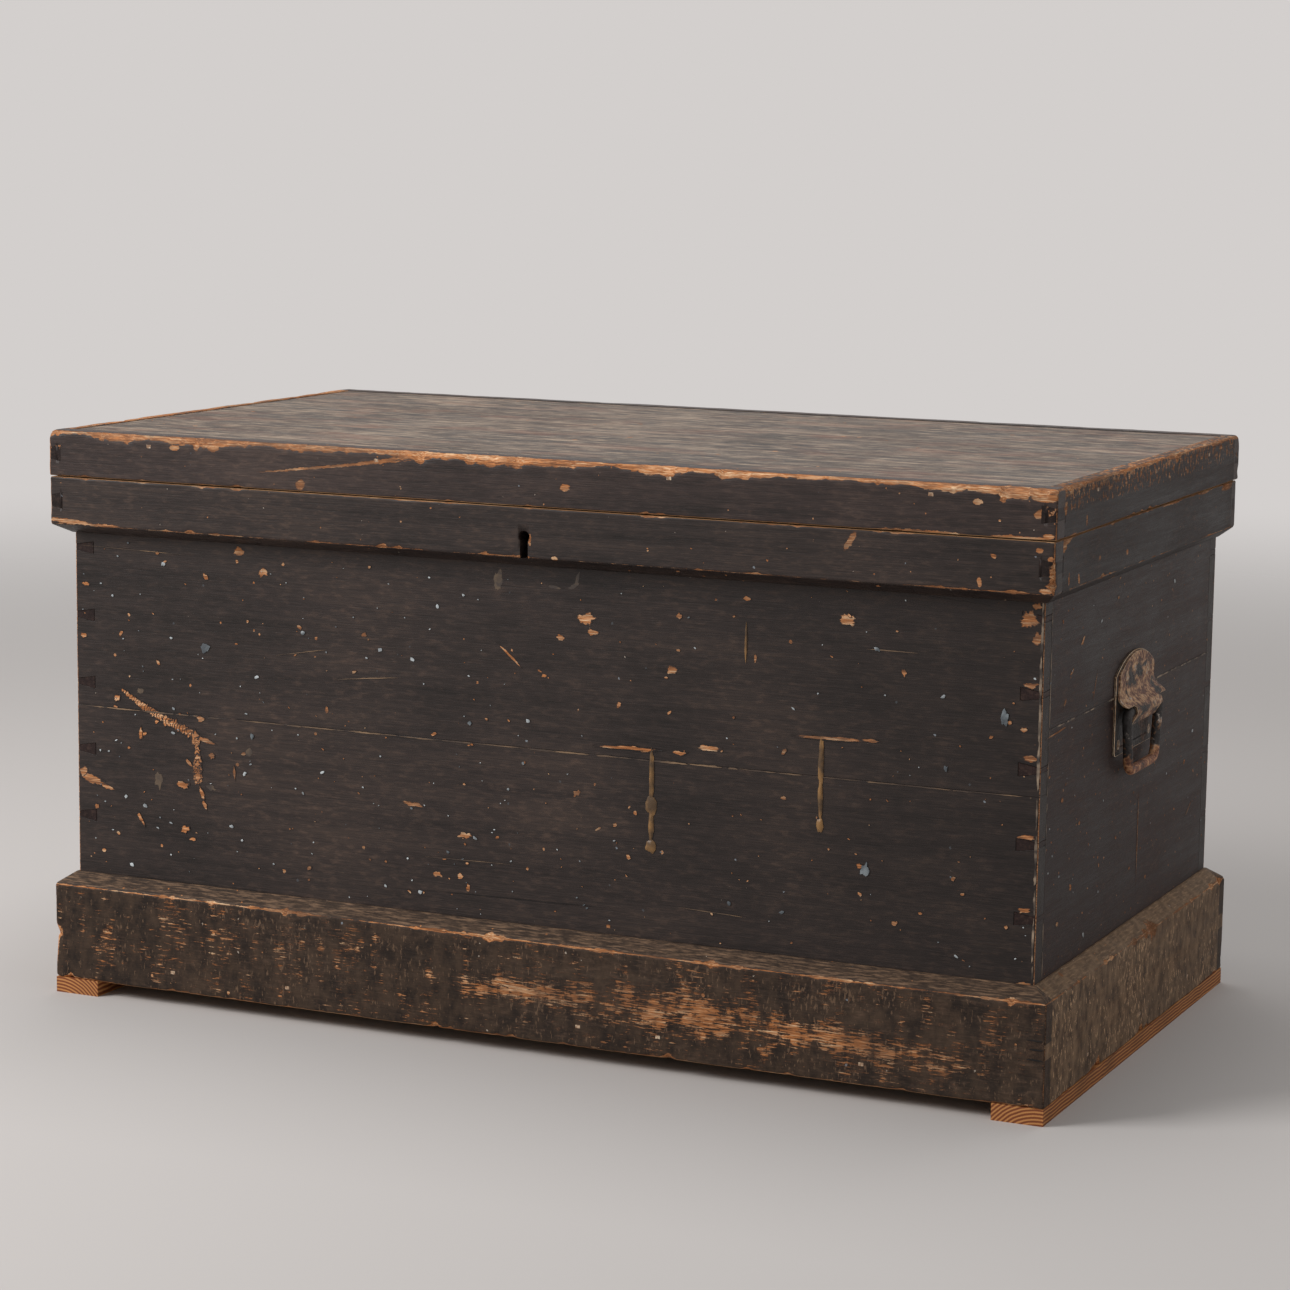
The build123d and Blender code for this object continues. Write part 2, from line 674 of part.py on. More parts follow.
def cut_where_met(nodes, names, tools):
    """Take each tool out of those of the named boards that it meets."""
    for name in names:
        near = [tool for tool in tools if touching(nodes[name], tool)]
        if near:
            nodes[name] = nodes[name] - near


def touching(board, tool):
    a = board.bounding_box()
    b = tool.bounding_box()
    return (a.min.X < b.max.X and b.min.X < a.max.X and a.min.Y < b.max.Y and b.min.Y < a.max.Y
            and a.min.Z < b.max.Z and b.min.Z < a.max.Z)


def build():
    nodes = {}
    nodes.update(carcass_boards())
    nodes.update(bottom_boards())
    nodes.update(plinth_boards())
    nodes.update(skirt_boards())
    nodes.update(runners())
    nodes.update(lid_boards())
    wood = list(nodes)

    hinges = {"left": -hinge_spacing / 2, "right": hinge_spacing / 2}
    skirt_screws, lid_screws = [], []
    for side, x in hinges.items():
        leaves, pin, plates, notch = hinge(x)
        down, up = hinge_screws(x)
        nodes["skirt_back"] = nodes["skirt_back"] - plates["body"] - notch
        nodes["lid_rim_back"] = nodes["lid_rim_back"] - plates["lid"] - notch
        nodes[f"hinge_leaf_body_{side}"] = leaves["body"] - down
        nodes[f"hinge_leaf_lid_{side}"] = leaves["lid"] - up
        nodes[f"hinge_pin_{side}"] = pin
        skirt_screws += down
        lid_screws += up

    case, cover, key_pin, bolt, spring = lock_parts()
    strike = link_plate()
    down, up = lock_screws()
    pocket = block(lock_x - lock_width / 2, lock_x + lock_width / 2, lock_back, lock_face, lock_bottom,
                   wall_top)
    let_in = block(lock_x - selvedge_width / 2, lock_x + selvedge_width / 2, lock_back, lock_face,
                   wall_top - selvedge_thickness, wall_top)
    key_way = keyhole_cut(skirt_outer[2] - cut_margin, lock_back, keyhole_length)
    nodes["front_board_upper"] = nodes["front_board_upper"] - [pocket, let_in, key_way]
    nodes["skirt_front"] = nodes["skirt_front"] - key_way
    nodes["lid_board_1"] = nodes["lid_board_1"] - block(
        lock_x - selvedge_width / 2, lock_x + selvedge_width / 2, lock_back, lock_face, panel_bottom,
        panel_bottom + selvedge_thickness)
    nodes["lock_case"] = case - down
    nodes["lock_cover"] = cover
    nodes["lock_drill_pin"] = key_pin
    nodes["lock_bolt"] = bolt
    nodes["lock_spring"] = spring
    nodes["lock_link_plate"] = strike - up
    nodes["lock_case_screws"] = group(down)
    nodes["link_plate_screws"] = group(up)
    nodes["hinge_screws_body"] = group(skirt_screws)
    nodes["hinge_screws_lid"] = group(lid_screws)
    cut_where_met(nodes, wood, down + up + skirt_screws + lid_screws)

    for side, end in (("left", -1), ("right", 1)):
        parts, screws = handle(end)
        for name, solid in parts.items():
            nodes[f"handle_{name}_{side}"] = solid
        nodes[f"handle_screws_{side}"] = group(screws)
        cut_where_met(nodes, wood, screws)

    for name, nails in board_nails().items():
        nodes[name] = group(nails)
        cut_where_met(nodes, wood, nails)
    return nodes


os.makedirs("parts", exist_ok=True)
for node_name, node in build().items():
    save(node_name, node)
    solids = node.solids()
    print(node_name, len(solids), round(sum(solid.volume for solid in solids)))
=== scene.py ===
# %% [markdown]
# # A painted military chest
#
# The real chest is a dovetailed pine box on a plinth, with a lid that closes over a skirt and an
# iron lift handle on each end. The solids come from the CAD frame, so this script only dresses them.
# It could rebuild every board from scratch, but then nothing would promise that the pieces still fit.
# So it starts from the frame and keeps every place and size that the frame gives.

# %% Load the frame
import bmesh
import bpy
import random
from math import cos, pi, radians, sin
from mathutils import Matrix, Vector, noise


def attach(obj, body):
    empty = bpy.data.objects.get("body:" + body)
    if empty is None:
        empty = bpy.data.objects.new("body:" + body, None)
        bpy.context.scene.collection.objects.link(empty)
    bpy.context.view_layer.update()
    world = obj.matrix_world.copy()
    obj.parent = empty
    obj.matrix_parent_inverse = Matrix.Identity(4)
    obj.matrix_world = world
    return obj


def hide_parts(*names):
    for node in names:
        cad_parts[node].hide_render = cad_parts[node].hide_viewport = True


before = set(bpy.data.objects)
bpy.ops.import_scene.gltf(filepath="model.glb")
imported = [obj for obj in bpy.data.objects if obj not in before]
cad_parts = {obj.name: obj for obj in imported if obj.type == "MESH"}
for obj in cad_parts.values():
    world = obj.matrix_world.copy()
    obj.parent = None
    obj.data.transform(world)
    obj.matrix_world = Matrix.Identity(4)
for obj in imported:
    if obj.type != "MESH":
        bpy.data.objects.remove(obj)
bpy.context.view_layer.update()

# %% [markdown]
# ## The camera
#
# The photograph was taken from a little above the lid's height, round to the right, with a long lens.
# A helper that frames the object by its box would be quicker, but it would lose that viewpoint. So the
# camera gets its own place, its three angles and its lens, and the rest of the scene is judged from it.

# %% Place the camera
CAMERA_PLACE = (1.3932, -3.0556, 0.8614)
CAMERA_AZIMUTH = radians(24.60)
CAMERA_ELEVATION = radians(8.81)
CAMERA_ROLL = radians(0.72)

away = Vector((sin(CAMERA_AZIMUTH) * cos(CAMERA_ELEVATION),
               -cos(CAMERA_AZIMUTH) * cos(CAMERA_ELEVATION), sin(CAMERA_ELEVATION)))
level = (-away).cross(Vector((0, 0, 1))).normalized()
upright = level.cross(-away)
right = level * cos(CAMERA_ROLL) + upright * sin(CAMERA_ROLL)
up = upright * cos(CAMERA_ROLL) - level * sin(CAMERA_ROLL)
turned = Matrix((right, up, away)).transposed().to_4x4()


def placed(name, data):
    """An object that is linked into the scene."""
    thing = bpy.data.objects.new(name, data)
    bpy.context.scene.collection.objects.link(thing)
    return thing


camera = placed("camera", bpy.data.cameras.new("camera"))
camera.data.sensor_width = 36.0
camera.data.lens = 97.7
camera.matrix_world = Matrix.Translation(CAMERA_PLACE) @ turned
bpy.context.scene.camera = camera
print("camera distance in m:", round(Vector(CAMERA_PLACE).length, 2))

# %% [markdown]
# ## Tools for colours and nodes
#
# A paint maker gives colours as sRGB codes, and a shader wants linear light, so one function turns a
# code into a colour. Shader trees get long when each node is made, set and linked on lines of its own.
# So a small class holds one tree, adds a node with its settings and links in one line, and gives short
# names to the sums that every finish here is made of.

# %% Colours and nodes
def linear(code):
    """An sRGB hex code as a linear colour."""
    parts = [int(code[i:i + 2], 16) / 255 for i in (0, 2, 4)]
    return (*[v / 12.92 if v <= 0.04045 else ((v + 0.055) / 1.055) ** 2.4 for v in parts], 1.0)


class Recipe:
    """The node tree of a material or a world, and the sums a finish is made of. Sizes are in mm."""

    def __init__(self, owner):
        """where is the place of each point in metres, as it was before its piece moved."""
        owner.use_nodes = True
        self.owner, self.tree = owner, owner.node_tree
        self.tree.nodes.clear()
        self.where = None if isinstance(owner, bpy.types.World) else self.add("TexCoord", out="Object")

    def add(self, kind, inputs=None, out=None, **settings):
        """Adds a node from its inputs and settings, and gives the node or one of its outputs."""
        node = self.tree.nodes.new("ShaderNode" + kind)
        for name, value in settings.items():
            setattr(node, name, value)
        for key, value in (inputs or {}).items():
            if isinstance(value, bpy.types.NodeSocket):
                self.tree.links.new(value, node.inputs[key])
            else:
                node.inputs[key].default_value = value
        return node if out is None else node.outputs[out]

    def surface(self, base, rough, **more):
        """Ends the tree in one Principled surface and gives the material."""
        inputs = {name.replace("_", " "): value for name, value in more.items()}
        shader = self.add("BsdfPrincipled", {"Base Color": base, "Roughness": rough, **inputs}, 0)
        self.add("OutputMaterial", {0: shader})
        return self.owner

    def remap(self, value, low=0.0, high=1.0, least=0.0, most=1.0):
        """Stretches low to high onto least to most, held at both ends."""
        return self.add("MapRange", {0: value, 1: low, 2: high, 3: least, 4: most}, 0)

    def calc(self, operation, *values):
        """One sum of numbers."""
        return self.add("Math", dict(enumerate(values)), 0, operation=operation)

    def blend(self, share, first, second):
        """A number that is share of the way from the first to the second."""
        return self.add("Mix", {0: share, 2: first, 3: second}, 0)

    def tint(self, share, first, second):
        """The same for two colours, each an output or a code."""
        first, second = (linear(c) if isinstance(c, str) else c for c in (first, second))
        return self.add("Mix", {0: share, 6: first, 7: second}, 2, data_type="RGBA")

    def ramp(self, value, low, high, *between):
        """A colour that follows a value. Each stop is a value and a colour code."""
        node = self.add("ValToRGB", {0: value})
        stops = node.color_ramp.elements
        for stop, (place, code) in zip(stops, (low, high)):
            stop.position, stop.color = place, linear(code)
        for place, code in between:
            stops.new(place).color = linear(code)
        return node.outputs[0]

    def bump(self, height, strength, depth):
        """Relief that is about depth deep."""
        return self.add("Bump", {"Height": height, "Strength": strength, "Distance": depth / 1000}, 0)

    def xyz(self, where=None):
        """The three parts of a place."""
        return self.add("SeparateXYZ", {0: where or self.where}).outputs


print("pine paint's mid tone in linear light:", [round(v, 3) for v in linear("3a302d")[:3]])

# %% [markdown]
# ## Wood grain, chips and specks
#
# Sawn pine is a bundle of fibres about a millimetre wide that run for a hand's breadth. Paint sinks
# into them, so grain shows even under a coat. A picture of wood would be easy but would repeat, so the
# grain is noise stretched along the board, at a scale worked out from those sizes. Chips that a
# viewer would remember are placed one by one in millimetres, and the small ones come from a cell pattern.

# %% Grain, warp and marks
class Pattern(Recipe):
    """A recipe with the patterns of wood and wear."""

    def clouds(self, size, detail, where=None, out=0, **more):
        """Noise whose blots are about size across."""
        inputs = {"Vector": where or self.where, "Scale": 1000 / size, "Detail": detail, **more}
        return self.add("TexNoise", inputs, out)

    def fibres(self, axis, width, run, detail=3.0):
        """Noise stretched along a board's axis, from the width and the run of a fibre."""
        scale = [1000 / width] * 3
        scale["XYZ".index(axis)] = 1000 / run
        stretched = self.add("Mapping", {"Vector": self.where, "Scale": scale}, 0)
        return self.clouds(1000, detail, stretched, Roughness=0.65)

    def ragged(self, size, reach, where=None):
        """The same places pushed about by noise, so that drawn outlines tear like flaking paint."""
        where = where or self.where
        push = self.clouds(size, 4.0, where, out=1, Roughness=0.7)
        centred = self.add("VectorMath", {0: push, 1: (0.5, 0.5, 0.5)}, 0, operation="SUBTRACT")
        scaled = self.add("VectorMath", {0: centred, "Scale": reach / 500}, 0, operation="SCALE")
        return self.add("VectorMath", {0: where, 1: scaled}, 0, operation="ADD")

    def laid_flat(self, where, face):
        """Turns a place into across and up on the front, on an end or on the lid."""
        x, y, z = self.xyz(where)
        across, rise = {"front": (x, z), "end": (y, z), "lid": (x, y)}[face]
        return self.add("CombineXYZ", {0: across, 2: rise}, 0)

    def marks(self, flat, places):
        """0 in the middle of the nearest mark, 1 at its edge. A mark: across, up, width, height and turn."""
        nearest = None
        for across, rise, width, height, turn in map(with_turn, places):
            local = self.add("Mapping", {"Vector": flat, "Location": (across / 1000, 0, rise / 1000),
                                         "Rotation": (0, -radians(turn), 0),
                                         "Scale": (width / 2000, 1, height / 2000)}, 0, vector_type="TEXTURE")
            reach = self.add("VectorMath", {0: local}, "Value", operation="LENGTH")
            nearest = self.calc("MINIMUM", nearest, reach) if nearest else reach
        return nearest

    def specks(self, where, spacing, share, size):
        """Small spots: one cell each spacing, of which a share carries a spot of about that size."""
        cells = self.add("TexVoronoi", {"Vector": where, "Scale": 1000 / spacing}).outputs
        lot = self.add("SeparateColor", {0: cells["Color"]}).outputs
        chosen = self.calc("GREATER_THAN", lot[0], 1 - share)
        inside = self.calc("LESS_THAN", cells["Distance"], self.calc("MULTIPLY", lot[1], size / spacing))
        return self.calc("MULTIPLY", chosen, inside)


def with_turn(mark):
    """A mark's five numbers. The turn may be left out where it is 0."""
    return (*mark, 0)[:5]


def new_recipe(name):
    """The recipe of a new material."""
    return Pattern(bpy.data.materials.new(name))


print("fibre scale across and along a board:", 1000 / 1.4, 1000 / 160)

# %% [markdown]
# ## Painted pine
#
# The boards carry one thin coat of near-black brown oil paint, brushed along the grain and then rubbed
# for a century. It has a soft sheen, not a gloss. Where it wore off, the pine below is orange to straw
# coloured, and the oldest bare patches have gone grey-brown with dirt. So the material has a coat, a bare
# wood under it, and a mask between them. The mask joins the wear along edges, the placed chips, the small
# specks and the inner sides that were never painted.

# %% The wood under the paint
def planed_pine(m, axis):
    """Colour of pine that was planed, never painted, and went honey brown in the dark of the chest."""
    mixed = m.blend(0.40, m.fibres(axis, 9.0, 420.0), m.fibres(axis, 1.2, 60.0))
    mixed = m.blend(0.35, mixed, m.clouds(260, 2.0))
    return m.ramp(mixed, (0.36, "86613d"), (0.64, "c6a077"))


def outermost(m, face):
    """1 on the outer face of the front or the right end, so that no mark colours the inside of a hole."""
    axis, outer, deeper = {"front": (1, -0.2836, -0.2831), "end": (0, 0.4982, 0.4977)}[face]
    return m.remap(m.xyz()[axis], deeper, outer)


def bare_pine(m, axis, dirt):
    """Colour of pine whose paint has gone: straw, orange and brown fibres, dulled where dirt is near 1."""
    mixed = m.blend(0.60, m.fibres(axis, 6.0, 120.0), m.fibres(axis, 0.9, 22.0))
    return m.tint(dirt, m.ramp(mixed, (0.36, "5a351f"), (0.64, "eccaa2"), (0.50, "c07b47")), "5a4436")


# %% The coat, the mask and the finished board
def painted_pine(name, *, tones=("1b1614", "2e2522", "43362f"), raw=None, edge=None, chips=(), rubbed=None,
                 dust_and_painted_light=None, rough_range=(0.36, 0.62), shine=0.30, scuff=0.35, speck_share=0.10):
    """Old oil paint on pine. The name's last word says which face it is on, and so how the grain runs."""
    face = name.split("_")[-1]
    axis = "Y" if face == "end" else "X"
    m = new_recipe(name)
    torn = m.ragged(5.0, 2.0)
    fine = m.fibres(axis, 1.1, 38.0, 4.0)
    broad = m.fibres(axis, 13.0, 330.0)
    mottle = m.fibres(axis, 4.0, 13.0, 6.0)
    splinter = m.fibres(axis, 1.5, 9.0, 5.0)
    cloud = m.clouds(150, 5.0, Roughness=0.6)

    # The coat: brush strokes and weathering along the grain, over slow patches
    tone = m.blend(0.45, m.blend(0.55, broad, fine), m.blend(0.65, mottle, cloud))
    colour = m.ramp(tone, (0.38, tones[0]), (0.64, tones[2]), (0.50, tones[1]))

    # Scuffs: the coat is dulled in patches a few fibres wide, mostly where the slow patches are light
    dull = m.calc("MULTIPLY", m.remap(mottle, 0.52, 0.70), m.remap(cloud, 0.40, 0.66, 0.1, scuff))
    colour = m.tint(dull, colour, "6b5446")
    # Dust and painted light laid over the coat: settled dust on the plinth, painted shade on the front's
    # right end, and streaks on the lid that are partly painted sheen.
    if dust_and_painted_light:
        colour = dust_and_painted_light(m, colour)

    # How bare the wood is, from 0 to 1: specks, placed chips, worn arrises, rubbed corners and zones
    bare = m.specks(torn, 17.0, speck_share, 3.0)
    bare = m.calc("MAXIMUM", bare, m.specks(torn, 6.0, speck_share * 0.6, 1.3))
    loose = m.remap(m.blend(0.6, mottle, splinter), 0.32, 0.68, -0.7, 0.7)
    if chips:
        inside = m.remap(m.marks(m.laid_flat(torn, face), chips), 1.4, 0.5, 0, 1.5)
        inside = m.calc("MULTIPLY_ADD", loose, inside, inside)
        inside = m.calc("MULTIPLY", inside, outermost(m, face))
        bare = m.calc("MAXIMUM", bare, inside)
    lost = m.add("Attribute", attribute_name="worn").outputs["Fac"]
    touched, depth = m.remap(lost, 0.02, 0.30), m.remap(lost, 0.08, 1.15, 0, 1.35)
    bare = m.calc("MAXIMUM", bare, m.calc("MULTIPLY_ADD", loose, touched, depth))
    if edge:
        bare = m.calc("MAXIMUM", bare, edge_rub(m, loose, edge))
    if rubbed:
        bare = m.calc("MAXIMUM", bare, rubbed(m))
    thin = m.remap(bare, 0.25, 0.55, 0, 0.75)
    gone = m.remap(bare, 0.50, 0.68)

    # Tiny splashes of blue-grey paint that fell on the chest later, most of them rubbed dull, and pale dust
    shaken = m.ragged(2.6, 1.9)
    for spacing, share, size, strength, shade in (
            (23.0, 0.14, 1.6, 0.9, "7f858c"), (17.0, 0.22, 2.2, 0.35, "5f666c"),
            (8.0, 0.14, 0.9, 0.9, "b3a596")):
        fleck = m.calc("MULTIPLY", m.specks(shaken, spacing, share, size), strength)
        colour = m.tint(fleck, colour, shade)

    colour = m.tint(thin, colour, "553a2b")
    wood = bare_pine(m, axis, m.remap(m.blend(0.5, cloud, mottle), 0.42, 0.60, 0, 0.75))
    if raw:
        inside = raw(m)
        wood = m.tint(inside, wood, planed_pine(m, axis))
        gone = m.calc("MAXIMUM", gone, inside)
    colour = m.tint(gone, colour, wood)

    # Oil paint rubbed to a sheen, against dry wood
    rough = m.blend(gone, m.remap(tone, 0.38, 0.62, *rough_range), 0.80)

    # Relief: fibres stand a tenth of a millimetre proud, and a chip is as deep as the coat
    relief = m.calc("MULTIPLY_ADD", mottle, 0.45, m.calc("MULTIPLY_ADD", gone, -0.8, fine))
    normal = m.bump(relief, 0.7, 0.4)
    return m.surface(colour, rough, Normal=normal, IOR=1.47, Specular_IOR_Level=shine)


# %% Finish a CAD piece and ease its edges
def dress(piece, finish):
    """Gives a piece one finish in place of any it had."""
    piece.data.materials.clear()
    piece.data.materials.append(finish)


def ease(node, width, segments=1):
    """Takes the sharp edges off a CAD piece by modifiers. Its faces come unjoined, so a weld comes first."""
    node.modifiers.new("weld faces", "WELD").merge_threshold = 0.00001
    bevel = node.modifiers.new("eased edges", "BEVEL")
    bevel.width, bevel.segments = width, segments
    bevel.limit_method = "ANGLE"
    bevel.angle_limit = radians(35)
    bevel.use_clamp_overlap = False
    node.modifiers.new("crisp shading", "EDGE_SPLIT").split_angle = radians(28)
    return bevel


# %% [markdown]
# ## Wear along the edges
#
# Hands, ropes and cart boards wear a chest at its corners first. On a wall the wear is only a line of
# bare wood, so there it is worked out in the shader from how far a point lies from the corner. The noise
# that widens and narrows the line is slow, about one change in 40 mm, because rubs come in runs.

# %% Rubbed corners and raw inner faces
WALL_BOX = (0.485, 0.264, 0.001)


def inset(m, half_length, half_depth, middle):
    """How far a point lies in from the two ends, and from the front and back, in metres."""
    x, y, _ = m.xyz()
    return [m.calc("SUBTRACT", half, m.calc("ABSOLUTE", m.calc("SUBTRACT", value, centre)))
            for value, centre, half in ((x, 0, half_length), (y, middle, half_depth))]


def edge_rub(m, loose, width):
    """How bare the standing corners of the walls are; width is the widest rub in millimetres."""
    distance = m.calc("MAXIMUM", *inset(m, *WALL_BOX))
    reach = m.remap(m.clouds(40, 3.0), 0.40, 0.72, 0.0010, width / 1000)
    worn_off = m.remap(m.calc("DIVIDE", distance, reach), 1.3, 0)
    return m.calc("MULTIPLY_ADD", loose, worn_off, worn_off)


def inside_the_walls(m):
    """1 on the walls' inner faces and on their top edges, which the lid hides."""
    return m.remap(m.calc("MINIMUM", *inset(m, *WALL_BOX)), 0.0015, 0.0022)


print("walls wear from", WALL_BOX[0], "m each way along and", WALL_BOX[1], "m across")

# %% [markdown]
# ## Boards with worn arrises
#
# The lid's rim, the skirt and the plinth stand proud, so they took the knocks: their arrises are rounded
# by up to a finger's width and splintered. Shading can't show that where it breaks the outline. A bevel
# would round every edge alike and would also round the joints. So each of these boards is copied, sliced
# into a fine grid near its arrises, and every point near one is pushed inwards by an amount that noise
# changes along the edge. How much wood was lost is kept on the mesh, and the material bares the pine there.

# %% Slice a board and wear its edges
BAND = (0.9, 2.0, 3.4, 5.2, 7.5, 11.0)


def sliced(bm, axis, places):
    """Cuts a mesh along planes across one axis, at places in millimetres."""
    normal = [0.0, 0.0, 0.0]
    normal[axis] = 1.0
    for place in places:
        point = [0.0, 0.0, 0.0]
        point[axis] = place / 1000
        geometry = bm.verts[:] + bm.edges[:] + bm.faces[:]
        bmesh.ops.bisect_plane(bm, geom=geometry, dist=1e-5, plane_co=point, plane_no=normal)


def spaced(low, high, step):
    """Evenly spaced places between two ends, in millimetres."""
    count = max(int((high - low) / step), 1)
    return [low + (high - low) * i / count for i in range(1, count)]


def near_both(low, high):
    """Places that crowd towards both ends of a length."""
    return [low + d for d in BAND if low + d < high] + [high - d for d in BAND if high - d > low]


SLOW_RUN, QUICK_RUN, TORN_RUN, SPLINTER_RUN = 55, 13, 6, 2.7  # millimetres along an arris for one change


def edge_wear(point, arris):
    """How far a point near one arris is pushed in, in millimetres, and how worn it is."""
    along, across, places, inward, width, chip = arris
    offset = [point[axis] * 1000 - place for axis, place in zip(across, places)]
    distance = (offset[0] ** 2 + offset[1] ** 2) ** 0.5
    run = point[along] * 1000
    seed = places[0] * 0.37 + places[1] * 0.11
    slow = noise.noise((run / SLOW_RUN, seed, 0.0))
    quick = noise.noise((run / QUICK_RUN, seed, 4.0))
    torn = noise.noise((run / TORN_RUN, seed, 9.0)) + 0.6 * noise.noise((run / SPLINTER_RUN, seed, 2.0))
    knock = max(0.0, quick - 0.05) * max(0.0, slow + 0.10) * 5.0
    reach = width * max(0.1, 1 + 1.0 * slow + 0.35 * torn) + chip * knock * (1 + torn)
    if distance >= reach:
        return (0.0, 0.0), 0.0
    push = 0.41 * reach * (1 - distance / reach) ** 2
    return (push * inward[0], push * inward[1]), push


def new_piece(name, bm, lost=None):
    """Turns a mesh under work into an object. lost is how much of the coat or wood each point has lost."""
    mesh = bpy.data.meshes.new(name)
    bm.to_mesh(mesh)
    bm.free()
    if lost:
        mesh.attributes.new("worn", "FLOAT", "POINT").data.foreach_set("value", lost)
    return placed(name, mesh)


def worn_board(name, grid, arrises):
    """A copy of a CAD board with its arrises worn away. grid gives the slices for each axis."""
    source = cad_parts[name]
    bm = bmesh.new()
    bm.from_mesh(source.data)
    bmesh.ops.remove_doubles(bm, verts=bm.verts, dist=1e-6)
    bmesh.ops.dissolve_limit(bm, angle_limit=radians(0.5), verts=bm.verts, edges=bm.edges)
    for axis, places in grid.items():
        sliced(bm, axis, places)
    bmesh.ops.triangulate(bm, faces=[f for f in bm.faces if len(f.verts) > 4])
    lost = []
    for vertex in bm.verts:
        shift, most = [0.0, 0.0, 0.0], 0.0
        for arris in arrises:
            pushed, push = edge_wear(vertex.co, arris)
            for axis, amount in zip(arris[1], pushed):
                shift[axis] += amount / 1000
            most = max(most, push)
        lost.append(most)
        vertex.co += Vector(shift)
    board = new_piece("worn_" + name, bm, lost)
    board.data.shade_smooth()
    board.data.set_sharp_from_angle(angle=radians(38))
    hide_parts(name)
    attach(board, "lid" if name.startswith("lid") else "carcass")
    return board


# %% [markdown]
# Each band of boards is a box open at top and bottom, so it has four arrises above, four below and four
# standing corners. The lid's front arris is by far the most worn, where the lid is lifted and where
# people sat. The plinth's upper arris is the one between its face and its bevel.

# %% Wear the rim, the skirt and the plinth
def band_arrises(left, right_, front, back, low, high, widths, chips):
    """The arrises of a band of boards round the box. widths and chips: front, end, back, corner, bottom."""
    found = []
    half = 0.7071
    for y, into, key in ((front, 1, 0), (back, -1, 2)):
        found.append((0, (1, 2), (y, high), (into * half, -half), widths[key], chips[key]))
        found.append((0, (1, 2), (y, low), (into * half, half), widths[4], chips[4]))
    for x, into in ((left, 1), (right_, -1)):
        found.append((1, (0, 2), (x, high), (into * half, -half), widths[1], chips[1]))
        found.append((1, (0, 2), (x, low), (into * half, half), widths[4], chips[4]))
        for y, deeper in ((front, 1), (back, -1)):
            found.append((2, (0, 1), (x, y), (into * half, deeper * half), widths[3], chips[3]))
    return found


# Left, right, front, back, low, high, then the widths and the chips
BANDS = {
    "lid_rim": (-500, 500, -285, 285, 505, 548, (8.0, 5.0, 4.5, 3.0, 1.3), (8.0, 7.0, 4.0, 5.0, 3.0)),
    "skirt": (-499, 499, -284.5, 279, 458.8, 503.8, (1.3, 1.6, 1.6, 2.2, 1.4), (3.0, 4.0, 2.0, 5.0, 4.0)),
    "plinth": (-502, 502, -280, 282, 15, 107.5, (2.2, 2.0, 2.4, 1.3, 2.2), (5.0, 4.0, 3.0, 4.0, 6.0)),
}
STEP_SEEN, STEP_HIDDEN = 4.0, 9.0  # between slices along a board, in millimetres

boards = {}
for band, sizes in BANDS.items():
    x0, x1, y0, y1, low, high = sizes[:6]
    arrises = band_arrises(*sizes)
    for side in ("front", "back", "left", "right"):
        step = STEP_SEEN if side in ("front", "right") else STEP_HIDDEN
        grid = {2: near_both(low, high) + spaced(low, high, 12.0)}
        if side in ("front", "back"):
            grid[0] = spaced(x0, x1, step) + near_both(x0, x1)
            grid[1] = [y0 + d for d in BAND] if side == "front" else [y1 - d for d in BAND]
        else:
            grid[1] = spaced(y0, y1, step) + near_both(y0, y1)
            grid[0] = [x0 + d for d in BAND] if side == "left" else [x1 - d for d in BAND]
        boards[f"{band}_{side}"] = worn_board(f"{band}_{side}", grid, arrises)
    print(band, "faces:", sum(len(b.data.polygons) for name, b in boards.items() if name.startswith(band)))

# %% [markdown]
# ## Finishing the bands of boards
#
# The rim's front was scraped by whatever hung over it, the skirt has a keyhole whose rim is chipped by
# keys, and the plinth was kicked and dragged, so its lower front is rubbed to bare wood in streaks along
# the grain. The rubbed zone is drawn as a soft patch in millimetres, and grain noise decides which fibres
# in it lost their paint.

# %% Paint the bands
RIM_FRONT_CHIPS = [
    (-225, 511, 9, 8, 40), (-190, 530, 145, 2.2, 7), (-150, 536, 60, 3.0, 10), (486, 527, 12, 7, 20),
    (493, 508, 10, 5), (380, 506, 70, 2.2), (470, 506, 50, 2.6), (-318, 541, 12, 8), (-360, 538, 10, 5),
    (430, 534, 8, 5), (490, 541, 24, 8), (45, 524, 9, 6),
]
SKIRT_FRONT_CHIPS = [
    (3, 459.4, 14, 2.6), (10.4, 475, 2.2, 10), (35, 459.6, 6, 3.5), (316, 494, 5, 18, -30),
    (-478, 462, 46, 4, -3), (-440, 460, 34, 2.5), (495, 489, 5, 5), (485, 496, 6, 4), (445, 489, 5, 4),
    (433, 466, 4, 8, 10), (492, 462, 12, 4), (-210, 459, 10, 3),
]
BAND_END_CHIPS = [
    (-256, 501, 44, 6, 12), (-264, 497, 20, 8), (-227, 531, 3, 9), (-203, 514, 4, 8), (-217, 465, 4, 9, 20),
    (-245, 468, 3, 10), (-159, 477, 5, 4), (-78, 473, 6, 5), (175, 503, 36, 2.5, 4), (248, 501, 36, 6, 2),
    (60, 503, 60, 1.6), (-262, 530, 6, 10),
]


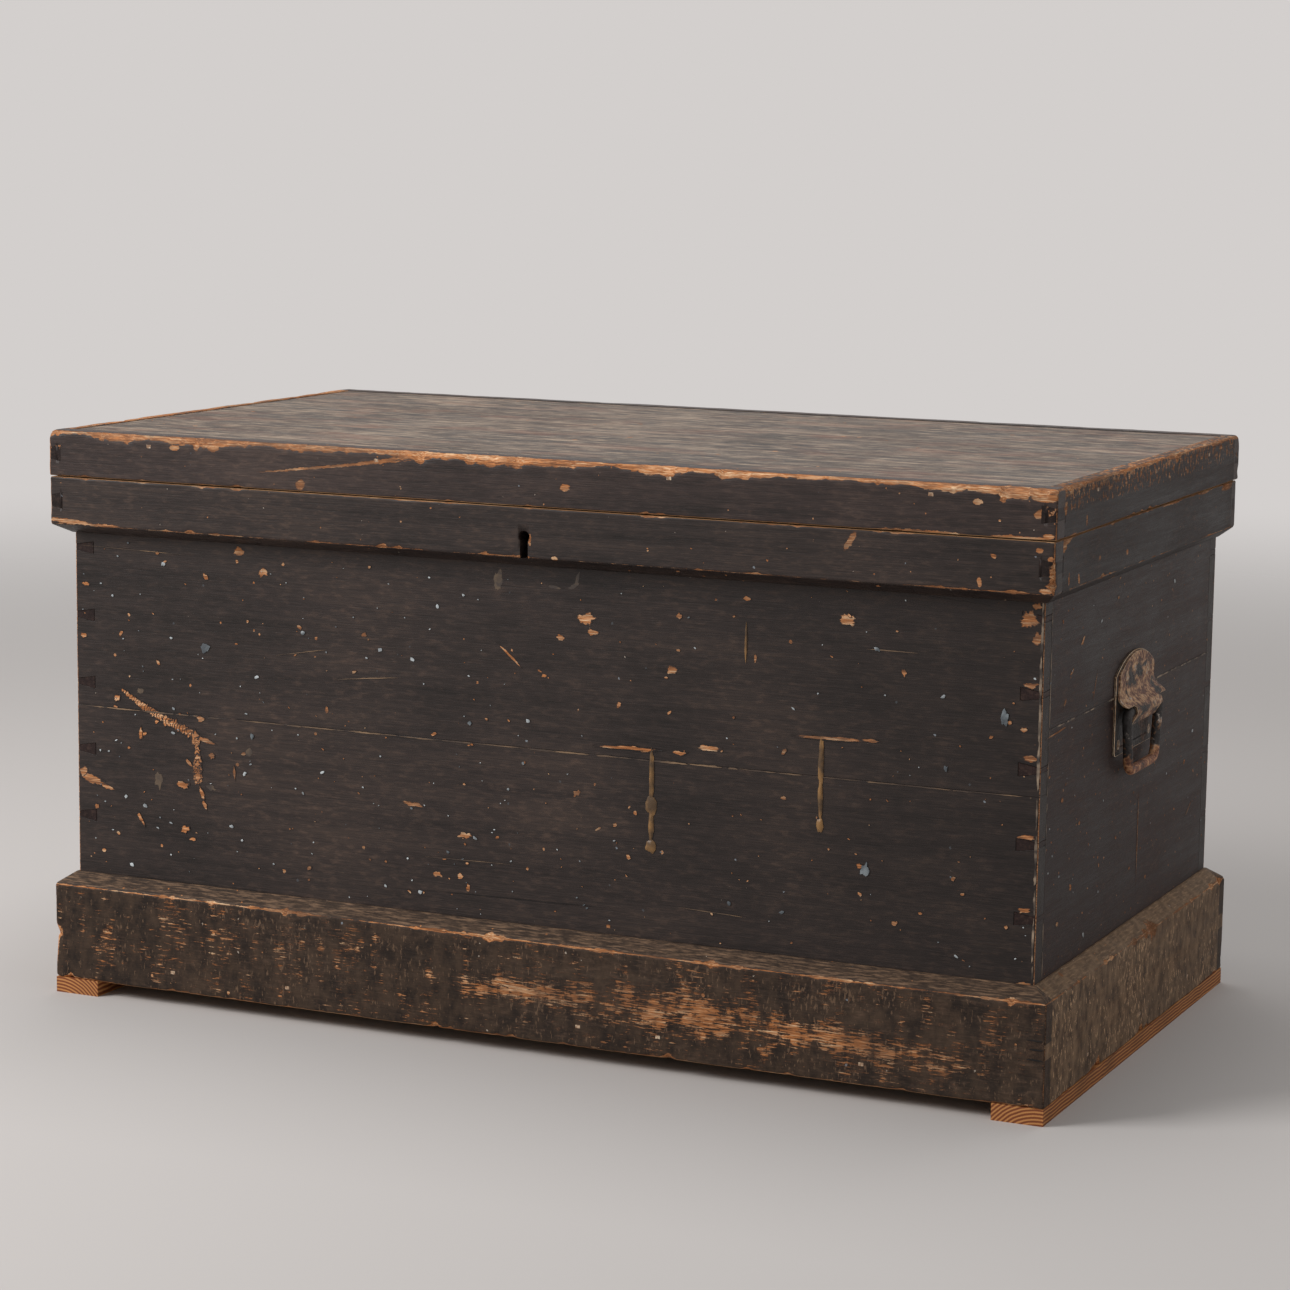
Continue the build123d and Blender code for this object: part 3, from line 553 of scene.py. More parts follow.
def kicked(m):
    """How bare the lower front of the plinth is, most of all right of the middle, fibre by fibre."""
    flat = m.laid_flat(m.where, "front")
    heavy = m.marks(flat, [(160, 58, 215, 38, -2), (290, 54, 230, 26, -4), (10, 60, 160, 20)])
    light = m.marks(flat, [(-130, 58, 330, 40), (-360, 62, 280, 60), (-271, 70, 16, 48), (-343, 66, 10, 30),
                           (-445, 60, 10, 26), (-112, 92, 8, 24), (112, 92, 9, 24), (494, 66, 16, 26),
                           (300, 40, 420, 44), (425, 60, 90, 38)])
    zone = m.calc("MAXIMUM", m.remap(heavy, 1.6, 0.2, 0, 0.93), m.remap(light, 1.4, 0.3, 0, 0.13))
    blown = m.remap(m.fibres("Z", 17.0, 40.0, 4.0), 0.36, 0.64, -0.48, 0.30)
    streak = m.remap(m.fibres("X", 1.5, 13.0, 5.0), 0.34, 0.66, -0.62, 0.57)
    faced = m.remap(m.xyz()[1], -0.2795, -0.2785, 1, 0)
    return m.calc("MULTIPLY", m.calc("ADD", m.calc("ADD", blown, streak), zone), faced)


def settled_dust(axis, share, fleck_width, thick, shade):
    """Straw-coloured upright flecks and a film of dust, which lies thick on the bevel."""
    def lay(m, colour):
        crowd = m.remap(m.clouds(60, 4.0), 0.40, 0.66, 0.05, -0.03)
        limit = m.calc("SUBTRACT", m.fibres("Z", fleck_width, 7.0, 5.0), crowd)
        film = m.remap(m.fibres("Z", 12.0, 20.0, 6.0), 0.38, 0.64, share * 0.06, share * 0.36)
        bevel = m.remap(m.xyz()[2], 0.1075, 0.1085)
        fleck = m.calc("MULTIPLY", m.remap(limit, 0.575, 0.62, 0, share * 0.95), m.remap(bevel, 0, 1, 1, 0))
        lain = m.remap(m.fibres(axis, 2.0, 16.0, 5.0), 0.46, 0.68, thick, 0.50)
        amount = m.calc("MAXIMUM", m.calc("MAXIMUM", film, fleck), m.calc("MULTIPLY", lain, bevel))
        if axis == "Y":
            off = m.remap(inset(m, 0.502, 0.281, 0.001)[1], 0.0003, 0.0015)
            amount = m.calc("MULTIPLY", amount, off)
        return m.tint(amount, colour, shade)
    return lay


def rim_tops(m):
    """How bare the rim's end pieces are on top: the left one has lost most of its paint."""
    x, _, z = m.xyz()
    runs = m.remap(m.fibres("Y", 4.0, 40.0, 5.0), 0.36, 0.60, 0.2, 1.2)
    bare = m.calc("MULTIPLY", runs, m.remap(x, 0.001, -0.001, 0.10, 0.95))
    bare = m.calc("MULTIPLY", bare, m.remap(z, 0.5450, 0.5470))

    # Below the arris the paint has splintered off in short upright flecks
    split = m.remap(m.fibres("Z", 5.0, 7.0, 5.0), 0.42, 0.60, -0.6, 1.3)
    split = m.calc("ADD", split, m.remap(z, 0.522, 0.545, -0.75, 0.15))
    return m.calc("MAXIMUM", bare, m.calc("MULTIPLY", split, m.remap(z, 0.5225, 0.5260)))


def under_the_panel(m):
    """1 where the rim was never painted: on its lower edge and on the side that meets the walls."""
    deep = m.remap(m.calc("MINIMUM", *inset(m, 0.500, 0.285, 0)), 0.0125, 0.0130)
    height = m.xyz()[2]
    both = m.calc("MULTIPLY", m.remap(height, 0.5462, 0.5458), deep)
    return m.calc("MAXIMUM", both, m.remap(height, 0.5058, 0.5053))


def unpainted_past(painted, raw):
    """1 on the edge of a board that was never painted, from the heights between which the paint ends."""
    return lambda m: m.remap(m.xyz()[2], painted, raw)


SKIRT_TOP = unpainted_past(0.5032, 0.5037)
PLINTH_FOOT = unpainted_past(0.0158, 0.0153)
PANEL_SIDES = unpainted_past(0.5471, 0.5468)
# The ends' tones are darker than the fronts' as painted shade, for end faces turned away from the key light.
SHADED_END_TONES = ("170f0d", "281b19", "3b2a26")
SHADED_BAND_END_TONES = ("100b0a", "1d1412", "2b1e1b")

finishes = {
    "rim_long": painted_pine("oil_paint_on_pine_rim_front", chips=RIM_FRONT_CHIPS, raw=under_the_panel,
                             tones=("1e1917", "342926", "4c3e38")),
    "rim_end": painted_pine("oil_paint_on_pine_rim_end", chips=BAND_END_CHIPS, raw=under_the_panel,
                            rubbed=rim_tops, tones=SHADED_BAND_END_TONES, shine=0.2, speck_share=0.22),
    "skirt_long": painted_pine("oil_paint_on_pine_skirt_front", chips=SKIRT_FRONT_CHIPS, raw=SKIRT_TOP),
    "skirt_end": painted_pine("oil_paint_on_pine_skirt_end", chips=BAND_END_CHIPS, raw=SKIRT_TOP,
                              tones=SHADED_BAND_END_TONES, shine=0.2, speck_share=0.22),
    "plinth_long": painted_pine("oil_paint_on_pine_plinth_front", rubbed=kicked, raw=PLINTH_FOOT,
                                dust_and_painted_light=settled_dust("X", 0.30, 2.2, 0.05, "b08c6e"),
                                tones=("120e0d", "201916", "332b25"), rough_range=(0.5, 0.75),
                                shine=0.2, scuff=0.5, speck_share=0.2),
    "plinth_end": painted_pine("oil_paint_on_pine_plinth_end", raw=PLINTH_FOOT,
                               dust_and_painted_light=settled_dust("Y", 0.95, 2.8, 0.14, "d0ab86"),
                               tones=("201712", "3a2c23", "574334"), rough_range=(0.55, 0.8),
                               shine=0.2, scuff=0.5, speck_share=0.25),
}
for name, board in boards.items():
    band = name.replace("lid_rim", "rim").split("_")[0]
    run = "long" if name.endswith(("front", "back")) else "end"
    dress(board, finishes[f"{band}_{run}"])
print("worn boards painted:", len(boards))

# %% [markdown]
# ## The walls and the lid's panel
#
# The walls are flat, so their CAD boards stay and only their finish is made here. The front carries the
# marks that identify this chest: a pale scrape at the left, two drips of old glue, and a dozen flaked
# spots, and its coat carries painted shade that deepens towards its right end. The panel on top is
# different. Rain and hands took its sheen, so its grain shows as grey and brown streaks from one end to
# the other; its light tone and pale ticks are partly painted sheen, the light its top catches at a low angle.

# %% Paint the walls and the lid
def scuffed(m):
    """How bare the weathered panel is: streaks that follow the grain, more of them in worn patches."""
    streak = m.remap(m.fibres("X", 7.0, 60.0, 5.0), 0.52, 0.76, 0, 0.75)
    return m.calc("MULTIPLY", streak, m.remap(m.clouds(110, 3.0), 0.42, 0.65, 0.1, 1))


def grain_streaks_and_sheen(m, colour):
    """Dark damp streaks a finger wide along the grain, pale and dark ticks and brown blotches, partly painted
    sheen.
    """
    damp = m.blend(0.45, m.fibres("X", 24.0, 210.0, 5.0), m.fibres("X", 6.0, 36.0, 6.0))
    ticks = m.fibres("X", 4.6, 30.0, 6.0)
    blotches = m.fibres("X", 40.0, 90.0, 5.0)
    for pattern, low, high, most, shade in (
            (damp, 0.57, 0.43, 0.92, "211b18"), (ticks, 0.52, 0.66, 0.62, "c4ae94"),
            (ticks, 0.48, 0.37, 0.92, "1d1815"), (blotches, 0.52, 0.68, 0.40, "7d4f38")):
        colour = m.tint(m.remap(pattern, low, high, 0, most), colour, shade)
    return colour


def shaded_right_end(m, colour):
    """Painted shade: the front's coat is darkened towards its right end, away from the key light."""
    return m.tint(m.remap(m.xyz()[0], 0.05, 0.47, 0, 0.42), colour, "120d0b")


# The front wall's finish carries painted shade that deepens towards its right end.
finishes["wall_long"] = painted_pine("oil_paint_on_pine_wall_front", raw=inside_the_walls, edge=1.3,
                                     dust_and_painted_light=shaded_right_end)
finishes["wall_end"] = painted_pine("oil_paint_on_pine_wall_end", raw=inside_the_walls, edge=1.6,
                                    tones=SHADED_END_TONES, shine=0.2, scuff=0.42, speck_share=0.16)
# The lid panel's light tone and pale ticks are partly painted sheen, put into its colour.
finishes["panel"] = painted_pine("weathered_paint_on_pine_lid", raw=PANEL_SIDES, rubbed=scuffed,
                                 dust_and_painted_light=grain_streaks_and_sheen, tones=("241b16", "614f41", "bda284"),
                                 rough_range=(0.66, 0.36), shine=0.42, scuff=0.6, speck_share=0.06)
BOARD_FINISH = {"front": "wall_long", "back": "wall_long", "left": "wall_end", "right": "wall_end",
                "lid": "panel"}
for name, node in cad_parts.items():
    kind = BOARD_FINISH.get(name.split("_board")[0])
    if kind:
        dress(node, finishes[kind])
        ease(node, 0.00045)
print("finishes made for boards:", len(finishes))

# %% [markdown]
# ## Flakes, splashes and drips
#
# Paint flakes off in torn patches, from pinheads to a thumbnail, and later owners dripped glue and white
# paint on the chest. Hundreds of them inside one shader would make it heavy and hard to follow, so each
# is a thin patch with a torn outline that lies on the board. The ones a viewer would remember are listed
# one by one, and small ones are scattered among them. Glue and splashes stand a little proud of the wood.

# %% Tear a patch
WALL_FACES = {"front": (1, -0.263, -1, -484.4, 484.4), "back": (1, 0.265, 1, -484.4, 484.4),
              "right": (0, 0.485, 1, -262.4, 264.4), "left": (0, -0.485, -1, -262.4, 264.4),
              "plinth": (1, -0.280, -1, -501.0, 501.0)}
PATCH_LIFT = 0.00012
PATCH_STEP = 0.0000015  # so that no two patches lie in one plane


def torn_outline(chance, width, height, turn, tear):
    """Points of a torn outline round its own middle, in millimetres."""
    seed = chance.uniform(0, 100)
    count = int(min(72, max(8, (width + height) * 1.3)))
    points = []
    for i in range(count):
        angle = 2 * pi * i / count
        slow = noise.noise((cos(angle) * 1.6 + seed, sin(angle) * 1.6, seed))
        quick = noise.noise((cos(angle) * 5.0 + seed, sin(angle) * 5.0, seed + 7))
        wobble = 1 + tear * (slow + 0.6 * quick)
        along = width / 2 * cos(angle) * wobble
        frayed = 1 + tear * noise.noise((along / 3.5, seed, sin(angle)))
        rise = height / 2 * sin(angle) * wobble * frayed
        points.append((along * cos(turn) - rise * sin(turn), along * sin(turn) + rise * cos(turn)))
    return points


def on_wall(face, along, rise, lift):
    """A place on a wall, from millimetres along and up, lift metres off it and never past its ends."""
    axis, surface, outward, first, last = WALL_FACES[face]
    level_ = surface + outward * lift
    along = max(first, min(last, along))
    if axis == 1:
        return (along / 1000, level_, rise / 1000)
    return (level_, along / 1000, rise / 1000)


def patches(name, marks, finish, seed, tear=0.45, dome=0.0):
    """One mesh of torn patches on the wall that its name starts with; dome raises the middle of each."""
    face = name.split("_")[0]
    chance = random.Random(seed)
    bm = bmesh.new()
    axis, _, outward = WALL_FACES[face][:3]
    lost = []
    for number, (along, rise, width, height, turn) in enumerate(map(with_turn, marks)):
        rim = torn_outline(chance, width, height, radians(turn), tear)
        base = PATCH_LIFT + PATCH_STEP * (number + seed)
        top = base + dome * min(1.0, min(width, height) / 4)
        outer = [bm.verts.new(on_wall(face, along + u, rise + v, base)) for u, v in rim]
        inner = [bm.verts.new(on_wall(face, along + u * 0.5, rise + v * 0.5, top)) for u, v in rim]
        lost += [0.0] * len(rim) + [1.15] * len(rim)
        made = [bm.faces.new(inner)]
        for i in range(len(rim)):
            j = (i + 1) % len(rim)
            made.append(bm.faces.new((outer[i], outer[j], inner[j], inner[i])))
        for piece in made:
            piece.smooth = True
            piece.normal_update()
        if made[0].normal[axis] * outward < 0:
            for piece in made:
                piece.normal_flip()
    patch = new_piece(name, bm, lost)
    dress(patch, finish)
    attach(patch, "carcass")


def along_a_path(seed, path):
    """Small marks that overlap like scales along a path of places and widths, as a dragged thing leaves."""
    chance = random.Random(seed)
    marks = []
    for (x0, z0, wide0), (x1, z1, wide1) in zip(path, path[1:]):
        run = ((x1 - x0) ** 2 + (z1 - z0) ** 2) ** 0.5
        steps = max(1, int(run / 2.6))
        for i in range(steps):
            t = i / steps
            wide = (wide0 + (wide1 - wide0) * t) * chance.uniform(0.85, 1.25)
            marks.append((x0 + (x1 - x0) * t + chance.uniform(-0.5, 0.5), z0 + (z1 - z0) * t,
                          wide * 0.75, wide, chance.uniform(-35, 5)))
    return marks


def along_a_joint(seed, low, high, across, width, upright=False):
    """Short thin marks in a broken line from low to high, as where paint cracked over a joint."""
    chance = random.Random(seed)
    marks, place = [], low
    while place < high:
        length = min(chance.uniform(8, 46), high - place)
        if chance.random() < 0.9:
            thick = width * chance.uniform(0.6, 1.3)
            centre = place + length / 2
            off = across + chance.uniform(-0.25, 0.25)
            marks.append((off, centre, thick, length, 0) if upright else (centre, off, length, thick, 0))
        place += length + chance.uniform(0, 7)
    return marks


def scattered(seed, half_length, count, smallest, largest, low=122, high=446):
    """Small marks scattered over a wall, more of them near its two ends and low down, in millimetres."""
    chance = random.Random(seed)
    marks = []
    while len(marks) < count:
        along = chance.uniform(-half_length, half_length)
        rise = chance.uniform(low, high)
        crowd = 0.35 + 0.4 * (abs(along) / half_length) ** 6 + 0.25 * (1 - (rise - low) / (high - low))
        if chance.random() > crowd:
            continue
        size = smallest + (largest - smallest) * chance.random() ** 3
        marks.append((along, rise, size * chance.uniform(0.8, 1.9), size * chance.uniform(0.6, 1.2),
                      chance.uniform(-50, 50)))
    return marks


# %% Colour the patches
def dried_liquid(name, tones, size, rough):
    """A dried splash: colour changes from one splash to the next, with a skin that shines a little."""
    m = new_recipe(name)
    colour = m.ramp(m.clouds(size, 2.0), (0.40, tones[0]), (0.62, tones[1]))
    return m.surface(colour, m.remap(m.clouds(2, 3.0), 0, 1, rough - 0.1, rough + 0.1), IOR=1.5)


splash_paint = dried_liquid("splashed_oil_paint", ("50575c", "c0c6c8"), 22, 0.5)
dried_glue = dried_liquid("dried_hide_glue", ("4d3820", "8a6538"), 14, 0.35)
old_stain = dried_liquid("old_stain", ("3a2f28", "5f4d3a"), 9, 0.5)
dull_splash = dried_liquid("rubbed_splash_of_paint", ("454b50", "7d8589"), 12, 0.55)
# Pale thin lines: on the front's right corner a painted highlight along the arris, and along the end's
# joints.
pale_line = dried_liquid("pale_line_on_corners", ("39312b", "9a8671"), 12, 0.7)
worn_line = dried_liquid("paint_worn_on_a_joint", ("43352b", "83694f"), 30, 0.7)
dark_crack = dried_liquid("open_crack", ("0d0a09", "1a1412"), 8, 0.9)

# %% [markdown]
# The marks below were read off the photograph and turned into millimetres, with the middle of the chest's
# front as zero along and the floor as zero up. On the ends, along runs from front to back.

# %% Lay the patches on the walls
FRONT_FLAKES = [
    (307, 422, 17, 12), (-278, 424, 11, 9), (-304, 442, 13, 9), (57, 405, 18, 12, 20), (63, 393, 12, 6),
    (31, 386, 9, 6), (141, 365, 11, 8, 30), (-64, 195, 16, 7), (-118, 219, 24, 5, -5), (-93, 156, 12, 6),
    (-69, 156, 7, 7), (-61, 146, 5, 9), (49, 245, 9, 7, 30), (-19, 365, 30, 2.2, -40),
    (471, 434, 19, 17, 20), (478, 446, 10, 6), (479, 418, 10, 13), (-472, 211, 36, 9, -16),
    (-479, 217, 9, 12), (-452, 204, 16, 4, -10), (177, 298, 23, 6), (212, 434, 9, 4), (221, 382, 3, 8),
    (-474, 400, 9, 4), (-477, 350, 8, 5), (474, 378, 16, 5), (475, 315, 15, 6), (474, 247, 17, 4.5),
    (474, 183, 14, 5), (475, 118.5, 16, 6), (-350, 221, 12, 12), (-440, 160, 5, 4), (-300, 250, 6, 4, 10),
    (-210, 300, 4, 7), (15, 350, 6, 4, 20), (90, 330, 4, 7, -20), (250, 260, 6, 4), (360, 380, 5, 8, 15),
]
SCRAPE_PATH = [(-434, 300, 4), (-412, 287, 7), (-388, 276, 9), (-357, 264, 9), (-349, 259, 12)]
SCRAPE_DROP = [(-351, 260, 6), (-351, 244, 8), (-351, 232, 13), (-350, 221, 9)]
FRONT_SCRAPES = [
    (-341, 259, 20, 5, -12), (-360, 236, 14, 4, -45), (-440, 292, 9, 8), (-367, 214, 17, 7),
    (-346, 208, 4, 14, 20), (-343, 197, 5, 9, 30), (-347, 279, 9, 6), (-335, 245, 7, 6),
    (-415, 178, 5, 13, 30), (-365, 171, 10, 8), (-414, 260, 4, 12), (-310, 231, 3, 12, 5),
]
FRONT_GLUE = [
    (123, 268, 5.5, 46), (123, 241, 11, 17), (123, 222, 5.0, 30), (123, 204, 10, 12), (285, 294, 5.0, 44),
    (285, 263, 4.5, 40), (285, 239, 7, 12), (212, 395, 2.2, 34),
]
FRONT_STAINS = [
    (-32, 433, 8, 19), (25, 431, 13, 2.6, -6), (44, 433, 12, 3.6, 28), (47, 439, 3, 12, -14),
    (-394, 216, 8, 14), (-294, 252, 8, 8), (-336, 214, 9, 6), (-414, 301, 7, 5),
]
FRONT_TORN = [(104, 291.0, 70, 4.6), (296, 316.6, 64, 4.4), (150, 291, 16, 4), (330, 318, 18, 3.5)]
FRONT_HAIRLINES = [
    (-420, 436, 110, 0.8, -1), (-165, 333, 64, 1.0, 6), (-235, 352, 50, 0.7, 10), (350, 398, 40, 0.8),
    (-60, 172, 90, 0.7, 1), (180, 150, 60, 0.7, -2),
]
PLINTH_SLOTS = [(493, 75, 15, 1.5), (494, 67, 14, 1.6, 1), (493, 58, 15, 1.5, -1)]
FRONT_CRACKS = [(98, 289.4, 40, 1.0, 1), (291, 315.0, 38, 1.0, 1), (-20, 141, 175, 0.7, 1)]
FRONT_SPLASHES = [
    (452, 348, 7, 13), (-341, 348, 10, 9), (328, 203, 8, 11), (-290, 268, 3.5, 5), (-60, 300, 4, 3.5),
    (200, 160, 3.5, 4), (400, 300, 3.5, 5),
]
END_FLAKES = [
    (-155, 403, 14, 5, 32), (-184, 379, 13, 4, 30), (-201, 355, 12, 4, 38), (-201, 269, 8, 5),
    (180, 240, 6, 5, 20), (-150, 240, 6, 4), (60, 150, 6, 4), (-218, 332, 60, 2.2, 2), (-205, 160, 8, 5),
    (-170, 186, 7, 8),
]
END_SCRATCHES = [(-116, 357, 30, 1.3, 66), (200, 190, 26, 1.5, 30), (30, 200, 2, 90)]

wall_long, wall_end = finishes["wall_long"], finishes["wall_end"]
scrape = along_a_path(67, SCRAPE_PATH) + along_a_path(71, SCRAPE_DROP) + FRONT_SCRAPES + FRONT_TORN
shifted = [(along - 240, *rest) for along, *rest in scattered(19, 236, 90, 0.9, 4.2)]
end_joints = along_a_joint(47, 124, 455, -243.5, 1.6, True) + along_a_joint(53, -235, 250, 337.0, 1.5)

# Each row is a name, the marks, their finish and a seed, and then how torn and how domed they are
for row in [
    ("front_flakes", FRONT_FLAKES + scattered(3, 478, 190, 1.2, 5.4), wall_long, 3),
    ("front_scrape", scrape, wall_long, 160, 0.5),
    ("front_glue_drips", FRONT_GLUE, dried_glue, 190, 0.25, 0.0011),
    ("front_stains", FRONT_STAINS, old_stain, 9),
    ("front_joint", along_a_joint(41, -478, 478, 281.6, 1.3), worn_line, 200),
    # A painted highlight down the front's right corner.
    ("front_corner", along_a_joint(43, 124, 455, 483.0, 2.0, True), pale_line, 240),
    ("front_hairlines", FRONT_HAIRLINES, worn_line, 310, 0.5),
    ("plinth_slots", PLINTH_SLOTS, dark_crack, 320, 0.4),
    ("front_cracks", FRONT_CRACKS, dark_crack, 260, 0.5),
    ("front_splashes", scattered(13, 478, 90, 0.9, 3.6) + shifted, splash_paint, 270, 0.45, 0.0003),
    ("front_dull_splashes", FRONT_SPLASHES, dull_splash, 420, 0.45, 0.0003),
    ("right_flakes", END_FLAKES + scattered(17, 255, 70, 1.2, 4.4), wall_end, 17),
    ("right_scratches", END_SCRATCHES, wall_end, 79, 0.5),
    ("right_joints", end_joints, pale_line, 90),
    ("right_splashes", scattered(23, 255, 48, 0.8, 3.4), splash_paint, 130, 0.45, 0.0003),
    ("left_flakes", scattered(29, 255, 60, 1.2, 7.0), wall_end, 29),
    ("left_joint", along_a_joint(59, -250, 250, 337.0, 1.1), worn_line, 100),
    ("back_flakes", scattered(31, 478, 110, 1.2, 9.0), wall_long, 31),
    ("back_joint", along_a_joint(61, -470, 470, 294.6, 1.1), worn_line, 150),
    ("back_splashes", scattered(37, 478, 40, 0.8, 2.6), splash_paint, 200, 0.45, 0.0003),
]:
    patches(*row)
print("marks placed by hand:", len(FRONT_FLAKES + FRONT_SCRAPES + FRONT_GLUE + FRONT_STAINS + END_FLAKES))

# %% [markdown]
# ## Bare softwood
#
# The runners under the plinth are newer sawn softwood, reddish and dry, and the bottom boards inside are
# the same wood gone brown. Softwood is told by its rings: a dark line each 3 mm or so where the board is
# sawn flat, and the same rings as arcs on the ends. One ring pattern gives both, because it is laid round
# a centre line along the board, as a tree grows.

# %% Saw the softwood
RINGS_PER_METRE = 2 * pi / 20  # the wave node's scale for one ring in each metre


def bare_softwood(name, axis, tones, pith, ring):
    """Dry sawn softwood. pith is where the tree's middle lies across the board, ring is the ring width."""
    m = new_recipe(name)
    x, y, z = m.xyz()
    both_sides = m.add("CombineXYZ", {0: m.calc("ABSOLUTE", x), 1: y, 2: z}, 0)
    centred = m.add("VectorMath", {0: both_sides, 1: tuple(v / 1000 for v in pith)}, 0, operation="SUBTRACT")
    inputs = {"Vector": m.ragged(160.0, 5.0, centred), "Scale": RINGS_PER_METRE * 1000 / ring,
              "Distortion": 0.5, "Detail": 2.0, "Detail Scale": 1.5}
    rings = m.add("TexWave", inputs, "Fac", wave_type="RINGS", rings_direction=axis)
    fine = m.fibres(axis, 1.0, 70.0)
    mixed = m.blend(0.45, rings, fine)
    colour = m.ramp(mixed, (0.28, tones[0]), (0.72, tones[2]), (0.5, tones[1]))
    colour = m.tint(m.remap(m.clouds(55, 4.0), 0.50, 0.75, 0, 0.5), colour, "4a3222")
    return m.surface(colour, m.remap(fine, 0, 1, 0.70, 0.88), Normal=m.bump(mixed, 0.5, 0.4), IOR=1.47)


# The runners' tones are set lighter, partly as painted light for the light bounced up onto their sides from
# below.
runner_pine = bare_softwood("sawn_softwood_runner", "Y", ("743d1c", "9a592c", "c3884f"), (500, 0, -38), 3.2)
bottom_pine = bare_softwood("aged_softwood_bottom", "X", ("5b4430", "7e6248", "9a7d5d"), (0, 60, -40), 3.6)
for name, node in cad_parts.items():
    if name.startswith(("runner_left", "runner_right", "bottom_board")):
        dress(node, runner_pine if name.startswith("runner") else bottom_pine)
print("ring width in mm: 3.2 on the runners, 3.6 on the bottom")

# %% [markdown]
# ## Rusted iron
#
# The lift handles are forged and bent iron, once painted black with the chest. Rust came up through the
# paint as pits and scabs, brown to orange, and hands polished the ear and the bar back to grey metal. The
# eye reads this by pits a millimetre or two across, colour that changes from scab to scab, and a sheen
# only where metal is rubbed. A metal map alone would look like clean steel, so rust is
# mixed in as a rough coat that isn't metal.

# %% Forge and rust the iron
def rusted_iron(name, rust_share, rubbed_share, tones, scab_size, low_rust=None):
    """Old iron. The shares are how much is rust and how much is bright. low_rust is two heights in metres."""
    m = new_recipe(name)
    lying = m.add("Mapping", {"Vector": m.where, "Scale": (1.0, 0.5, 1.0)}, 0)
    scab = m.clouds(scab_size, 6.0, lying, Roughness=0.68, Distortion=0.2)
    slow = m.clouds(20, 5.0, lying, Roughness=0.6, Distortion=0.2)
    if low_rust:
        slow = m.calc("ADD", slow, m.remap(m.xyz()[2], *low_rust, 0, 0.35))
    pits = m.add("TexVoronoi", {"Vector": m.ragged(4.0, 2.0), "Scale": 1000 / 3.4}, 0)
    rust = m.ramp(m.blend(0.25, scab, pits), (0.30, tones[0]), (0.62, tones[2]), (0.46, tones[1]))
    start = 0.66 - rust_share * 0.4
    colour = m.tint(m.remap(slow, start, start + 0.07), m.tint(scab, "100e0d", "393432"), rust)
    sheen_limit = 0.74 - rubbed_share * 0.35
    rubbed = m.remap(scab, sheen_limit, sheen_limit + 0.06)
    colour = m.tint(rubbed, colour, "a39a92")
    normal = m.bump(m.calc("MULTIPLY_ADD", pits, 0.7, scab), 0.9, 1.2)
    return m.surface(colour, m.blend(rubbed, 0.62, 0.38), Normal=normal,
                     Metallic=m.calc("MULTIPLY", rubbed, 0.85))


hood_iron = rusted_iron("rusted_forged_iron_hood", 0.60, 0.36, ("100c0b", "6e4636", "cfa57c"), 8.0)
plate_iron = rusted_iron("rusted_sheet_iron_plate", 0.30, 0.25, ("171210", "3d2d25", "6b4d3b"), 11.0)
bail_iron = rusted_iron("worn_black_iron_bail", 0.25, 0.40, ("241711", "804f35", "e0a878"), 12.0,
                        (0.282, 0.266))
lock_iron = rusted_iron("dull_sheet_iron_lock", 0.25, 0.30, ("2d241f", "4b3a30", "6e5440"), 12.0)
nail_iron = rusted_iron("rusted_cut_nails", 0.95, 0.45, ("4a3325", "9a7558", "e0c8aa"), 4.0)
# A pale cream iron for the handles' bevelled edges: a painted highlight along their outline.
highlighted_edge_iron = rusted_iron("iron_edges_with_painted_highlight", 0.95, 0.40, ("8a6a4e", "cfa982", "f4dcbc"), 8.0)

METAL_FINISH = {"handle_hood": hood_iron, "handle_backplate": plate_iron, "handle_bail": bail_iron,
                "lock_": lock_iron, "hinge_": lock_iron}
for name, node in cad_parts.items():
    chosen = [finish for start, finish in METAL_FINISH.items() if name.startswith(start)]
    if name.endswith("nails") or "screws" in name:
        chosen = [nail_iron]
    if not chosen:
        continue
    dress(node, chosen[0])
    if name.startswith(("handle_hood", "handle_back", "lock_case", "lock_link")) and "screws" not in name:
        bevel = ease(node, 0.0003 if "hood" in name else 0.0005, 2)
        # The handles' bevelled edges take the pale iron, a painted highlight along the outline.
        if name.startswith("handle"):
            node.data.materials.append(highlighted_edge_iron)
            bevel.material = 1
print("iron finishes:", len(set(METAL_FINISH.values())))

# %% [markdown]
# ## Floor, backdrop and light
#
# The chest stands on a pale floor before a pale grey backdrop, in big soft lights. A wall would be in the
# way when the camera goes round, so the floor is a wide disc that fades out, and the backdrop is the
# world's own colour, shown only to the camera and to reflections. The light that falls on the chest is a
# separate plain white, so a paler backdrop never washes out the paint.

